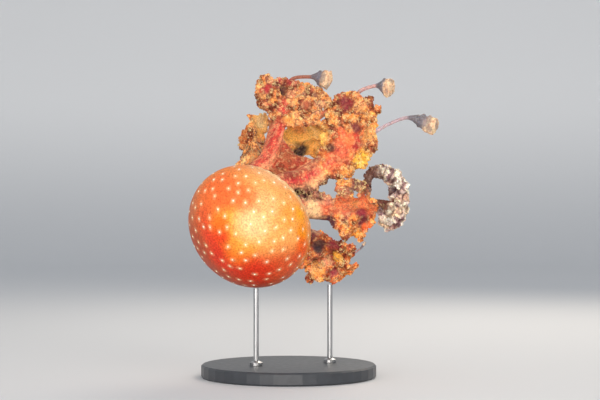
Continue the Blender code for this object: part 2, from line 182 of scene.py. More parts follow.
def loftFaces(rings, steps):
    faces = []
    for ring in range(rings - 1):
        a, b = ring * steps, (ring + 1) * steps
        faces += [(a + k, a + (k + 1) % steps, b + (k + 1) % steps, b + k) for k in range(steps)]
    return faces


def loft(name, rings, start=None, end=None):  # a closed body through rings of equal count
    steps = len(rings[0])
    points = [p for ring in rings for p in ring]
    last = (len(rings) - 1) * steps
    points.append(np.mean(rings[0], 0) if start is None else start)
    points.append(np.mean(rings[-1], 0) if end is None else end)
    faces = loftFaces(len(rings), steps)
    faces += [((k + 1) % steps, k, len(points) - 2) for k in range(steps)]
    faces += [(last + k, last + (k + 1) % steps, len(points) - 1) for k in range(steps)]
    mesh = meshOf(name, points, faces)
    data = bmesh.new()
    data.from_mesh(mesh)
    bmesh.ops.recalc_face_normals(data, faces=data.faces)
    data.to_mesh(mesh)
    data.free()
    return newObject(name, mesh)


def joined(pieces, name):
    points, faces = [], []
    for piece in pieces:
        base = len(points)
        points += [tuple(v.co) for v in piece.data.vertices]
        faces += [tuple(base + i for i in f.vertices) for f in piece.data.polygons]
    discard(*pieces)
    return newObject(name, meshOf(name, points, faces))


def nearest(places, points):
    tree = KDTree(len(places))
    for i, place in enumerate(places):
        tree.insert(place, i)
    tree.balance()
    found = [tree.find(point) for point in points]
    return np.array([f[1] for f in found]), np.array([f[2] for f in found])


# The bell is a shade smaller than its solid, with furrows between the lappets and fine ridges inside.
bellShape = dict(
    radius=60.0, height=50.0, marginAngle=-24.0, notchAngle=-33.0, lappetDepth=3.0, jellyAtTop=20.0,
    jellyAtMargin=2.6, lappetThickness=1.2, lappets=32, coat=0.25, steps=192, rows=46, marginRows=9,
    furrow=0.45, ridge=0.4, ridges=64,
)
bellSize = np.array([bellShape["radius"], bellShape["radius"], bellShape["height"]])


def onBell(angle, inset=0.0):
    radius, height = bellShape["radius"] * np.cos(angle), bellShape["height"] * np.sin(angle)
    normal = np.array([radius / bellShape["radius"] ** 2, height / bellShape["height"] ** 2])
    normal = normal / np.hypot(*normal)
    return radius - normal[0] * inset, height - normal[1] * inset


def jellyThickness(angle, edge):
    shape = bellShape
    margin = math.radians(shape["marginAngle"])
    share = np.clip((angle - margin) / (math.pi / 2 - margin), 0, 1)
    above = shape["jellyAtMargin"] + (shape["jellyAtTop"] - shape["jellyAtMargin"]) * share**1.6
    below = np.clip((margin - angle) / (margin - edge), 0, 1)
    return above - (shape["jellyAtMargin"] - shape["lappetThickness"]) * below


def makeBell():
    shape = bellShape
    top, margin = math.pi / 2, math.radians(shape["marginAngle"])
    turns = np.arange(shape["steps"]) * math.tau / shape["steps"]
    notch = np.abs(np.sin(turns * shape["lappets"] / 2))  # 0 in a notch, 1 in the middle of a lappet
    edge = np.radians(shape["notchAngle"] - shape["lappetDepth"] * notch**0.6)
    rings = []
    for share in np.linspace(0, 1, shape["rows"] + 1)[1:]:
        rings.append((np.full_like(turns, top + (margin - top) * share), np.full_like(turns, shape["coat"])))
    for share in np.linspace(0, 1, shape["marginRows"] + 1)[1:]:
        rings.append((margin + (edge - margin) * share, np.full_like(turns, shape["coat"])))
    outerCount = len(rings)
    rings.append((edge - 0.006, jellyThickness(edge, edge) * 0.5))
    for share in np.linspace(1, 0, shape["marginRows"] + 1)[:-1]:
        angle = margin + (edge - margin) * share
        rings.append((angle, jellyThickness(angle, edge) - 0.1))
    for share in np.linspace(1, 0, shape["rows"] - 8)[:-1]:
        angle = np.full_like(turns, top + (margin - top) * share)
        rings.append((angle, jellyThickness(angle, edge)))
    sections = []
    for i, (angle, inset) in enumerate(rings):
        if i < outerCount:
            low = smooth(math.radians(-8), math.radians(-30), angle) * (1 - notch) ** 2
            inset = inset + shape["furrow"] * low
        else:
            fold = smooth(math.radians(70), math.radians(35), angle)
            fold = fold * smooth(margin - 0.1, margin + 0.2, angle)
            inset = inset + shape["ridge"] * fold * np.cos(turns * shape["ridges"]) * 0.5
            inset = inset + shape["ridge"] * fold * 0.35 * np.cos(angle * 60)
        radius, height = onBell(angle, inset)
        sections.append(np.stack([radius * np.cos(turns), radius * np.sin(turns), height], 1))
    poles = (0, 0, shape["height"] - shape["coat"]), (0, 0, shape["height"] - shape["jellyAtTop"])
    outside = [p for ring in sections[:outerCount] for p in ring]
    shell = loft("bellShell", sections, *poles)
    return shell, meshOf("bellBed", outside, loftFaces(outerCount, shape["steps"]))


disc = dict(radius=24.0, top=-14.0, bottom=-30.0, arms=8, firstArm=57.5)
pillars = dict(count=4, radius=5.0, place=13.5)
armShape = dict(
    underMargin=(38.0, 0.0, 29.5), gap=0.3, rootWidth=9.0, upperDepth=(6.0, 5.0),
    wingAngles=(-62.0, 62.0, 180.0), wingRoot=2.6, wingEdge=0.9, coat=1.6,
    upperRings=30, upperSteps=36, lowerRings=72, sideSteps=8,
)
arms = [  # places are (outwards from the bell's axis, sideways, down); reach is of the three wings
    dict(
        places=[(42, -3, 52), (56, 4, 88), (68, 10, 112), (76, 13, 132)],
        split=0.62, width=11, reach=(51, 22, 12), turn=-56,
    ),
    dict(
        places=[(36, -12, 56), (51, -23, 86), (62, -20, 108), (74, 7, 134)],
        split=0.46, width=12, reach=(34, 27, 12), turn=0,
    ),
    dict(
        places=[(44, -10, 44), (59, -21, 58), (78, -37, 78)],
        split=0.56, width=11, reach=(26, 32, 10), turn=0,
    ),
    dict(
        places=[(52, -3, 39), (67, -16, 43), (90, -29, 45)],
        split=0.42, width=8, reach=(29, 31, 15), turn=0,
    ),
    dict(
        places=[(48, 6, 48), (68, 8, 60), (88, 7, 78)],
        split=0.45, width=9, reach=(16, 16, 12), turn=0,
    ),
    dict(
        places=[(42, 0, 44), (54, 2, 72), (52, 6, 100)],
        split=0.45, width=9, reach=(16, 16, 10), turn=0,
    ),
    dict(
        places=[(18, -15, 66), (17, -19, 98), (5, -9, 150)],
        split=0.58, width=11, reach=(24, 20, 14), turn=0,
    ),
    dict(
        places=[(39, -4, 66), (58, 4, 88), (67, 0, 116)],
        split=0.45, width=8, reach=(23, 24, 12), turn=0,
    ),
]
trims = [  # small frills along the side of an upper arm: the angle is round it from its outer side
    dict(arm=2, angle=-104.0, start=0.14, end=0.43, radius=2.6, coat=0.9),
    dict(arm=3, angle=112.0, start=0.20, end=0.54, radius=4.2, coat=0.9),
]
# A thick web joins two arms next to each other, from a share of each to another.
armWeb = dict(
    arms=(1, 2), shares=((0.22, 0.52), (0.15, 0.45)), thickness=2.4, sink=1.5, rings=24, spans=13,
    hollow=0.26,
)
wingSteps = 15  # what grows from a wing's edge has its ring as a step along it, of this many
curls = [  # small curled frills that grow from the edge of a wing
    dict(
        arm=1, wing=1, ring=12, coat=0.8, share=0.92,
        places=[(93, 20, 114), (89, 27, 110), (82, 30, 106), (73.7, 29.5, 103), (67, 26, 101)],
        radii=(1.6, 3.0, 3.4, 3.4, 3.2, 2.4), lobes=[], web=dict(wing=(0.8, 0.3), thickness=1.8),
    ),
    dict(
        arm=3, wing=1, ring=1, coat=0.8, share=0.66,
        places=[(73, 9, 56), (78.5, 8, 59.5), (84, 6.5, 63.5), (88, 5, 67)],
        radii=(1.6, 3.2, 4.0, 4.0, 2.6),
        lobes=[(75, 5, 57, 4.0), (80, 3.5, 61, 4.5), (85, 1.5, 66, 4.5), (71, 6, 54, 3.5), (88, 0, 70, 4.0)],
        web=None,
    ),
]


class Curve:  # a smooth curve through places that leaves the first one in a given direction
    def __init__(self, places, direction):
        self.places = [np.array(p, float) for p in places]
        self.lengths = [np.linalg.norm(b - a) for a, b in zip(self.places, self.places[1:])]
        self.length = sum(self.lengths)
        inner = [
            (self.places[i + 1] - self.places[i - 1]) / (self.lengths[i - 1] + self.lengths[i])
            for i in range(1, len(self.places) - 1)
        ]
        last = (self.places[-1] - self.places[-2]) / self.lengths[-1]
        self.slopes = [np.array(direction, float), *inner, last]

    def point(self, t):
        along = t * self.length
        if along <= 0:
            return self.places[0] + self.slopes[0] * along
        for i, length in enumerate(self.lengths):
            if along <= length:
                s = along / length
                start = self.places[i] * (1 + 2 * s) + self.slopes[i] * length * s
                end = self.places[i + 1] * (3 - 2 * s) - self.slopes[i + 1] * length * (1 - s)
                return start * (1 - s) ** 2 + end * s**2
            along -= length
        return self.places[-1] + self.slopes[-1] * along

    def direction(self, t):
        return unit(self.point(t + 0.004) - self.point(t - 0.004))


class MouthArm:
    def __init__(self, number):
        self.number, self.shape = number, arms[number - 1]
        azimuth = math.radians(disc["firstArm"] - 360.0 / disc["arms"] * (number - 1))
        self.outwards = np.array([math.cos(azimuth), math.sin(azimuth), 0])
        self.sideways = np.array([-math.sin(azimuth), math.cos(azimuth), 0])
        root = self.place(disc["radius"] + armShape["gap"], 0, -(disc["top"] + disc["bottom"]) / 2)
        places = [self.place(*p) for p in (armShape["underMargin"], *self.shape["places"])]
        self.curve = Curve([root, *places], self.outwards)
        self.split, self.turn, self.reach = (self.shape[key] for key in ("split", "turn", "reach"))
        self.shares = np.linspace(-0.08, 1.08, 465)
        self.frames = [np.array(column) for column in zip(*(self.frame(t) for t in self.shares))]

    def place(self, out, side, down):
        return self.outwards * out + self.sideways * side - np.array([0, 0, down])

    def frame(self, t):
        along = self.curve.direction(t)
        reference = self.outwards + np.array([0, 0, 1])
        outer = unit(reference - along * reference.dot(along))
        return self.curve.point(t), along, outer, np.cross(outer, along)

    def locate(self, points, t):  # share along the arm, angle round it from its outer side, distance
        for _ in range(3):
            step = np.clip(np.searchsorted(self.shares, t), 0, len(self.shares) - 1)
            centre, along, outer, left = (column[step] for column in self.frames)
            slide = ((points - centre) * along).sum(1) / self.curve.length
            t = np.clip(self.shares[step] + slide, t - 0.05, t + 0.05)
        away = points - centre
        across, forward = (away * left).sum(1), (away * outer).sum(1)
        return t, np.degrees(np.arctan2(across, forward)), np.hypot(across, forward)

    def upperSize(self, t):  # half width, half depth
        share = np.clip(t / self.split, 0, 1.1)
        width = armShape["rootWidth"] + (self.shape["width"] - armShape["rootWidth"]) * share
        root, tip = armShape["upperDepth"]
        return width, root + (tip - root) * share

    def upperRing(self, t):
        centre, _, outer, left = self.frame(t)
        width, depth = self.upperSize(t)
        turns = np.arange(armShape["upperSteps"]) * math.tau / armShape["upperSteps"]
        grooves = 1.0 - 0.035 * (1 + np.cos(5 * turns + 0.8 * np.sin(9 * t + self.number)))
        grooves = grooves - 0.02 * np.cos(11 * turns + 14 * t)
        across = np.outer(np.cos(turns) * grooves * (width - 0.2), left)
        return centre + across + np.outer(np.sin(turns) * grooves * (depth - 0.2), outer)

    def wing(self, wing, share):
        centre, _, outer, left = self.frame(self.split + (1 - self.split) * share)
        envelope = math.sin(math.pi * (0.15 + 0.74 * share)) ** 0.6
        lobes = 1.0 + 0.14 * math.sin(math.tau * (2.4 * share + 0.31 * wing + 0.17 * self.number))
        swing = min(1.0, 4.0 * share) * min(1.0, 20.0 / self.reach[wing])
        sway = 16.0 * swing * math.sin(math.tau * (1.9 * share + 0.4 * wing + 0.23 * self.number))
        angle = math.radians(armShape["wingAngles"][wing] + self.turn + sway)
        outwards = outer * math.cos(angle) + left * math.sin(angle)
        across = left * math.cos(angle) - outer * math.sin(angle)
        lower = self.curve.length * (1 - self.split)
        scallop = 1.6 * math.sin(math.tau * (lower * share / 9.0 + 0.37 * wing))
        scallop *= min(1.0, self.reach[wing] / 20)
        reach = self.reach[wing] * envelope * lobes - armShape["coat"] + scallop
        return centre + outwards * reach, outwards, across

    def lowerRing(self, share):  # three wings round a core; the marks are (wing, share out to its edge)
        centre, _, outer, left = self.frame(self.split + (1 - self.split) * share)
        close = math.sqrt(max(0.0, 1 - max(0.0, (share - 0.93) / 0.11) ** 2))
        close *= math.sqrt(1 - max(0.0, (0.10 - share) / 0.14) ** 2)
        half = armShape["wingRoot"] * (1.0 - 0.3 * share**3)
        length = self.curve.length * (1 - self.split)
        points, marks = [], []
        for wing, wingAngle in enumerate(armShape["wingAngles"]):
            angle = math.radians(wingAngle + self.turn)
            direction = outer * math.cos(angle) + left * math.sin(angle)
            beside = left * math.cos(angle) - outer * math.sin(angle)
            root = centre + direction * half * 1.2
            edge, outwards, across = self.wing(wing, share)
            edge = centre + (edge - centre) * close
            reach = np.linalg.norm(edge - centre)
            sides = []
            for u in np.linspace(0, 1, armShape["sideSteps"]):
                base = root * (1 - u) + edge * u
                thick = armShape["wingEdge"] + (half - armShape["wingEdge"]) * (1 - u) ** 2
                side = unit(beside * (1 - u) + across * u)
                turns = length * share / 11.0 + 0.29 * wing + 0.3 * u + 0.21 * self.number
                ruffle = min(2.6, reach * 0.11) * u**1.6 * math.sin(math.tau * turns)
                sides.append((base + side * ruffle, side * thick, u))
            points += [base - thick for base, thick, _ in sides]
            points.append(sides[-1][0] + outwards * armShape["wingEdge"])
            points += [base + thick for base, thick, _ in reversed(sides)]
            outward = [(reach, u) for _, _, u in sides]
            marks += outward + [(reach, 1.0)] + outward[::-1]
        return points, marks


def makeTrunk():  # the eight-sided disc and its four pillars
    corner = disc["radius"] / math.cos(math.pi / disc["arms"])
    first = math.radians(disc["firstArm"])
    turns = first + np.arange(48) * math.tau / 48
    flat = math.cos(math.pi / 8) / np.cos((turns - first + math.pi / 8) % (math.pi / 4) - math.pi / 8)
    across = corner * flat * np.array([np.cos(turns), np.sin(turns)])
    top, bottom = disc["top"], disc["bottom"]
    levels = [(top, 0.86), (top - 1.5, 0.98), (-22.0, 1.0), (bottom + 1.5, 0.98), (bottom, 0.86)]
    rings = [np.array([*(across * width), np.full(48, height)]).T for height, width in levels]
    made = [loft("discBody", rings, (0, 0, top + 0.5), (0, 0, bottom - 0.5))]
    levels = [(-18, 1.3), (-13.7, 1.2), (-9, 0.95), (-5, 0.85), (5, 0.83), (14, 0.9), (22, 1.1), (31.5, 1.45)]
    turns = np.arange(20) * math.tau / 20
    for k in range(pillars["count"]):
        azimuth = math.radians(disc["firstArm"] + 180.0 / disc["arms"] + 360.0 / pillars["count"] * k)
        centre = np.array([math.cos(azimuth), math.sin(azimuth), 0]) * pillars["place"]
        rings = []
        for height, width in levels:
            radius = pillars["radius"] * width - 0.2
            ring = np.array([radius * np.cos(turns), radius * np.sin(turns), np.full(20, height)]).T
            rings.append(centre + ring)
        made.append(loft("pillarBody", rings))
    return made


# Samples say whose a place on the body is: (x, y, z, arm or 0 for the fringe, share along, reach there).
def makeArms():
    made, samples = [], []
    for arm in mouthArms:
        rings = []
        first, last = -5.0 / arm.curve.length, arm.split + 4.0 / arm.curve.length
        for t in np.linspace(first, last, armShape["upperRings"]):
            ring = arm.upperRing(t)
            rings.append(ring)
            samples += [(*p, arm.number, t, arm.shape["width"]) for p in ring[::2]]
        made.append(loft("upperBody", rings))
        rings = []
        for share in np.linspace(-0.03, 1.035, armShape["lowerRings"]):
            ring, marks = arm.lowerRing(share)
            rings.append(ring)
            t = arm.split + (1 - arm.split) * share
            samples += [(*p, arm.number, t, reach) for p, (reach, _) in zip(ring, marks)]
        made.append(loft("lowerBody", rings))
    for shape in trims:
        arm, angle = mouthArms[shape["arm"] - 1], math.radians(shape["angle"])
        rings, turns = [], np.arange(12) * math.tau / 12
        for i, t in enumerate(np.linspace(shape["start"], shape["end"], 44)):
            centre, along, outer, left = arm.frame(t)
            width, depth = arm.upperSize(t)
            normal = left * math.sin(angle) + outer * math.cos(angle)
            reach = math.hypot(width * math.sin(angle), depth * math.cos(angle))
            surface = left * (width**2 * math.sin(angle)) + outer * (depth**2 * math.cos(angle))
            ends = math.sin(math.pi * (0.04 + 0.92 * i / 43)) ** 0.4
            radius = shape["radius"] * ends * (0.82 + 0.18 * math.cos(0.62 * i)) - shape["coat"] * 0.5
            middle = centre + surface / reach + normal * (radius * 0.9)
            across = np.cross(along, normal)
            ring = middle + radius * (np.outer(np.cos(turns), normal) + np.outer(np.sin(turns), across))
            rings.append(ring)
            samples += [(*p, arm.number, t, width + radius) for p in ring]
        made.append(loft("trimBody", rings))
    pair = [mouthArms[number - 1] for number in armWeb["arms"]]

    def webLine(s):  # both edges of the web at a share of its length, and half its thickness across it
        frames = [arm.frame(start + (end - start) * s) for arm, (start, end) in zip(pair, armWeb["shares"])]
        edges = []
        for arm, (start, end), (centre, _, outer, left), (other, *_) in zip(
            pair, armWeb["shares"], frames, frames[::-1]
        ):
            width, depth = arm.upperSize(start + (end - start) * s)
            across, forward = (other - centre).dot(left), (other - centre).dot(outer)
            scale = 1 / math.hypot(across / width, forward / depth)
            side = left * across + outer * forward
            edges.append(centre + side * scale - unit(side) * armWeb["sink"])
        thick = unit(np.cross(frames[0][1] + frames[1][1], edges[1] - edges[0])) * armWeb["thickness"] / 2
        return edges[0], edges[1], thick

    sections, spans = [], np.linspace(0, 1, armWeb["spans"])
    for i in range(armWeb["rings"]):
        below, above = [], []
        for u in spans:
            hollow = 1 - armWeb["hollow"] * math.sin(math.pi * u)
            start, end, thick = webLine(i / (armWeb["rings"] - 1) * hollow)
            place = start + (end - start) * u
            below.append(place - thick)
            above.append(place + thick)
            if 0.1 < u < 0.9:
                samples.append((*place, -2, u, 10.0))
        sections.append(below + above[::-1])
    made.append(loft("webBody", sections))
    for shape in curls:
        count = len(shape["radii"])
        radii = np.interp(np.linspace(0, count - 1, 48), np.arange(count), shape["radii"]) - shape["coat"]
        made.append(loft("curlBody", sweep(stemCurve(shape), radii, 16)))
        for *place, radius in shape["lobes"]:
            made.append(ball(mouthArms[shape["arm"] - 1].place(*place), radius - shape["coat"]))
        for body in made[-1 - len(shape["lobes"]):]:
            samples += [(*v.co, shape["arm"], shape["share"], 14.0) for v in body.data.vertices]
        if shape["web"]:
            arm, curve, (first, last) = mouthArms[shape["arm"] - 1], stemCurve(shape), shape["web"]["wing"]
            sections = []
            for s in np.linspace(0, 1, 25):
                share, t = first + (last - first) * s, 0.12 + 0.86 * s
                a, b = arm.wing(shape["wing"], share)[0], curve.point(t)
                sunk = (arm.curve.point(arm.split + (1 - arm.split) * share) - a) * 0.12
                thick = unit(np.cross(curve.direction(t), b - a)) * shape["web"]["thickness"] / 2
                sections.append([a + sunk - thick, b + sunk - thick, b + sunk + thick, a + sunk + thick])
                across = np.linspace(0, 0.9, 20)
                samples += [(*(a + sunk + (b - a) * u), arm.number, 0.9, 14.0) for u in across]
            made.append(loft("webBody", sections))
    return made, samples


fringe = dict(
    arm=3, wing=1, ring=10, rings=90, steps=16, coat=1.4,
    places=[
        (79, -9, 83), (79, -3, 94), (84, -6, 103), (88, -13, 107), (89, -24, 111),
        (90, -35, 107), (90, -45, 99), (90, -50, 88), (88, -49, 77),
    ],
    radii=(1.3, 3.2, 4.5, 6.5, 6.5, 8.0, 9.0, 9.0, 8.5, 6.0),
    # round lobes of the fringe, each a place on its arm and a radius
    lobes=[
        (84, -3, 96, 5.0), (80, -3, 89, 4.5), (85, -46, 82, 6.5), (84, -38, 84, 4.5), (92, -16, 111, 5.5),
        (86, -42, 100, 6.5), (94, -30, 112, 6.0), (93, -50, 95, 6.0), (92, -38, 108, 5.0), (90, -38, 86, 6.0),
        (89, -46, 80, 6.5),
    ],
    # the thin web between the arm's left wing and the fringe: shares of the wing and of the fringe
    web=dict(wing=(0.74, 1.0), along=(0.72, 0.9), thickness=1.7),
)
feelers = [  # what each grows from, its places on that arm, radii of thread and club, and the thread's tone
    dict(
        arm=1, wing=None, ring=None, places=[(78, -14, 138), (71, -30, 141)],
        thread=1.9, club=8.5, tone="a8705f",
    ),
    dict(
        arm=2, wing=0, ring=14, places=[(99, -11, 143), (109, -27, 146)],
        thread=1.9, club=8.5, tone="c49c98",
    ),
    dict(
        arm=2, wing=0, ring=7, places=[(100, -49, 122), (113, -61, 126), (117, -85, 130)],
        thread=1.7, club=8.0, tone="b8a2a8",
    ),
    dict(arm=4, wing=1, ring=9, places=[(91, 8, 50), (92, 18, 54)], thread=0.9, club=1.2, tone="b08f92"),
    dict(arm=6, wing=1, ring=8, places=[(70, 14, 96), (80, 12, 104)], thread=1.5, club=5.5, tone="b8a2a8"),
    dict(arm=5, wing=0, ring=11, places=[(96, -6, 92), (106, -10, 98)], thread=1.5, club=5.5, tone="b8a2a8"),
]
feelerShape = dict(
    rings=80, steps=24, coat=1.0, lump=6.5, lumpHeight=2.3,
    # the club's outline: shares along the feeler, and how wide it is there
    club=(
        (0.56, 0.0), (0.64, 0.2), (0.70, 0.5), (0.76, 0.82), (0.84, 0.98), (0.92, 1.08), (0.97, 1.0),
        (1.0, 0.8),
    ),
)


def stemOf(arm, shape):  # where a fringe or a feeler leaves its arm, and its way out
    if shape["wing"] is None:
        end, along, _, _ = arm.frame(1)
        return end, along
    shares = shape["ring"] / wingSteps, (shape["ring"] + 1) / wingSteps
    (start, _, across), (end, _, _) = (arm.wing(shape["wing"], share) for share in shares)
    outwards = unit(np.cross(across, end - start))
    middle = (start + end) / 2
    centre = arm.curve.point(arm.split + (1 - arm.split) * (shape["ring"] + 0.5) / wingSteps)
    outwards = outwards if outwards.dot(middle - centre) > 0 else -outwards
    return middle - outwards * 3, outwards


def stemCurve(shape):
    arm = mouthArms[shape["arm"] - 1]
    start, outwards = stemOf(arm, shape)
    return Curve([start, *(arm.place(*p) for p in shape["places"])], outwards)


def sweep(curve, radii, steps):
    rings = []
    side = np.cross(curve.direction(0), (0, 0, 1))
    for i, radius in enumerate(radii):
        t = i / (len(radii) - 1)
        along = curve.direction(t)
        side = unit(side - along * side.dot(along))
        other = np.cross(along, side)
        turns = np.arange(steps) * math.tau / steps
        around = np.outer(np.cos(turns), side) + np.outer(np.sin(turns), other)
        rings.append(curve.point(t) + radius * around)
    return rings


def ball(centre, radius):
    levels = np.radians([-60, -30, 0, 30, 60])
    turns = np.arange(12) * math.tau / 12
    rings = []
    for a in levels:
        ring = np.array([np.cos(a) * np.cos(turns), np.cos(a) * np.sin(turns), np.full(12, np.sin(a))]).T
        rings.append(centre + radius * ring)
    return loft("lobeBody", rings, centre - [0, 0, radius], centre + [0, 0, radius])


def makeFringe():
    arm = mouthArms[fringe["arm"] - 1]
    curve = stemCurve(fringe)
    count = len(fringe["radii"])
    radii = np.interp(np.linspace(0, count - 1, fringe["rings"]), np.arange(count), fringe["radii"])
    rings = sweep(curve, np.maximum(radii - fringe["coat"], 0.9), fringe["steps"])
    made = [loft("fringeBody", rings)]
    samples = [
        (*p, 0, i / (fringe["rings"] - 1), radii[i]) for i, ring in enumerate(rings) for p in ring[::2]
    ]
    for *place, radius in fringe["lobes"]:
        centre = arm.place(*place)
        made.append(ball(centre, radius - 1.0))
        share = min(np.linspace(0, 1, 60), key=lambda t: np.linalg.norm(curve.point(t) - centre))
        samples += [(*v.co, 0, share, radius) for v in made[-1].data.vertices]
    web = fringe["web"]
    rings = []
    for s in np.linspace(0, 1, 25):
        a, _, _ = arm.wing(fringe["wing"], web["wing"][0] + (web["wing"][1] - web["wing"][0]) * s)
        b = curve.point(web["along"][1] + (web["along"][0] - web["along"][1]) * (1 - s))
        rings.append((a, b))
    sections = []
    for i, (a, b) in enumerate(rings):
        step = rings[min(i + 1, 24)][0] - rings[max(i - 1, 0)][0]
        thick = unit(np.cross(step, b - a)) * web["thickness"] / 2
        sections.append([a - thick, b - thick, b + thick, a + thick])
        samples += [(*(a + (b - a) * u), -1, web["along"][0], 10.0) for u in np.linspace(0.04, 0.96, 24)]
    made.append(loft("webBody", sections))
    return made, samples


def cells(points, size):  # height of rounded clumps over the creases between them, and a number for each
    height, number = np.empty(len(points)), np.empty(len(points))
    for i, p in enumerate(points):
        distances, places = noise.voronoi(Vector(p) / size)
        height[i] = min(1.0, (distances[1] - distances[0]) * 1.6)
        number[i] = noise.cell(places[0] * 7.3)
    return height, number


def makeFeeler(shape):
    curve = stemCurve(shape)
    shares = np.linspace(0, 1, feelerShape["rings"])
    coat = feelerShape["coat"] if shape["club"] > 3 else 0.0
    rise = np.interp(shares, *zip(*feelerShape["club"]))
    close = np.sqrt(np.clip(1 - (np.clip((shares - 0.95) / 0.052, 0, 1)) ** 2.4, 0, 1))
    thread = shape["thread"] * (1 - 0.1 * np.sin(math.pi * np.clip(shares / 0.7, 0, 1)))
    radii = (thread + (shape["club"] - coat - thread) * rise) * np.maximum(close, 0.12)
    rings = sweep(curve, radii, feelerShape["steps"])
    if coat:
        for i in range(len(rings)):
            if shares[i] > 0.72:
                away = unit(rings[i] - curve.point(shares[i]))
                height, _ = cells(rings[i], feelerShape["lump"])
                rings[i] = rings[i] + away * ((height - 0.3) * feelerShape["lumpHeight"])[:, None]
    return loft("feelerBody", rings)


skinShape = dict(
    voxel=1.37, smoothing=3, clump=6.8, clumpHeight=1.9, floret=3.0, floretHeight=1.2, swell=14.0,
    swellHeight=2.2,
)
# How each arm looks. Angles are round the arm from its outer side: its crimson stripe (and half its
# width), its pale side and its shaded side. Bare says where the head's ground is smooth (how far down,
# angle, half width, how far out), trim where small frills edge the upper arm (angle, half width, from, to).
armLooks = [
    dict(
        stalk="e8845c", stripe=(16, -62), wide=42, crimson="d84a42", pale=-98, light="f4a076",
        shade=165, dark="a85a48",
        head=("f2a75a", "fbcc84", "eab08e", "cc6a58"), bare=(0.10, 0, 63, 0.55), trim=None,
    ),
    dict(
        stalk="e87850", stripe=(-4, -16), wide=26, crimson="d24448", pale=-80, light="f7bb88",
        shade=72, dark="a05a48",
        head=("f4a858", "fac66c", "f2a67c", "d0685a"), bare=(0.52, 0, 63, 0.55), trim=(-104, 26, 0.16, 0.47),
    ),
    dict(
        stalk="f0905e", stripe=(24, 24), wide=40, crimson="f07a50", pale=84, light="d89070",
        shade=-78, dark="6a4248",
        head=("f8964c", "fbb860", "f4a272", "d0523e"), bare=(0.95, 58, 74, 0.95), trim=(112, 28, 0.16, 0.66),
    ),
    dict(
        stalk="7e4648", stripe=(-40, -40), wide=26, crimson="983c46", pale=120, light="a06a62",
        shade=0, dark="6a4044",
        head=("f08a48", "fcae50", "ea8c68", "b8444a"), bare=(0.30, 0, 63, 0.55), trim=None,
    ),
    dict(
        stalk="d49068", stripe=(0, 0), wide=26, crimson="bb4a3f", pale=180, light="eab98c",
        shade=90, dark="a05c48",
        head=("f2a456", "f9c06c", "eeac80", "cc6a50"), bare=(0.15, 0, 63, 0.55), trim=None,
    ),
    dict(
        stalk="d48c5c", stripe=(0, 0), wide=26, crimson="c2523f", pale=180, light="efc08e",
        shade=90, dark="a05c48",
        head=("f2a456", "f9c06c", "eeac80", "cc6a50"), bare=(0.15, 0, 63, 0.55), trim=None,
    ),
    # Arms 7 and 8 hang behind in the shade of the others: their heads are painted paler and yellower, a
    # painted glow.
    dict(
        stalk="c07850", stripe=(-20, -20), wide=26, crimson="b0503c", pale=160, light="e09a60",
        shade=90, dark="9c5540",
        head=("fab454", "fcc86c", "f4aa5c", "e08c4c"), bare=(0.15, 0, 63, 0.55), trim=None,
    ),
    dict(
        stalk="c8784c", stripe=(0, 0), wide=26, crimson="b05040", pale=180, light="f0b878",
        shade=90, dark="9c5a44",
        head=("f8ac58", "fdd78e", "f6b870", "e08a4c"), bare=(0.15, 0, 63, 0.55), trim=None,
    ),
]
# The fringe's crease colour is painted shade in its creases.
fringeLook = dict(head=("fce4c8", "fff4e2", "f4d2b2", "d2a482"), creaseShade="5e4232", web="6e4c40")
webLook = dict(main="b06c48", rosy="b8563e", brown="743a28")
# Painted shade: the colour the heads darken to in the creases between clumps and florets.
headCreaseShade = "944430"
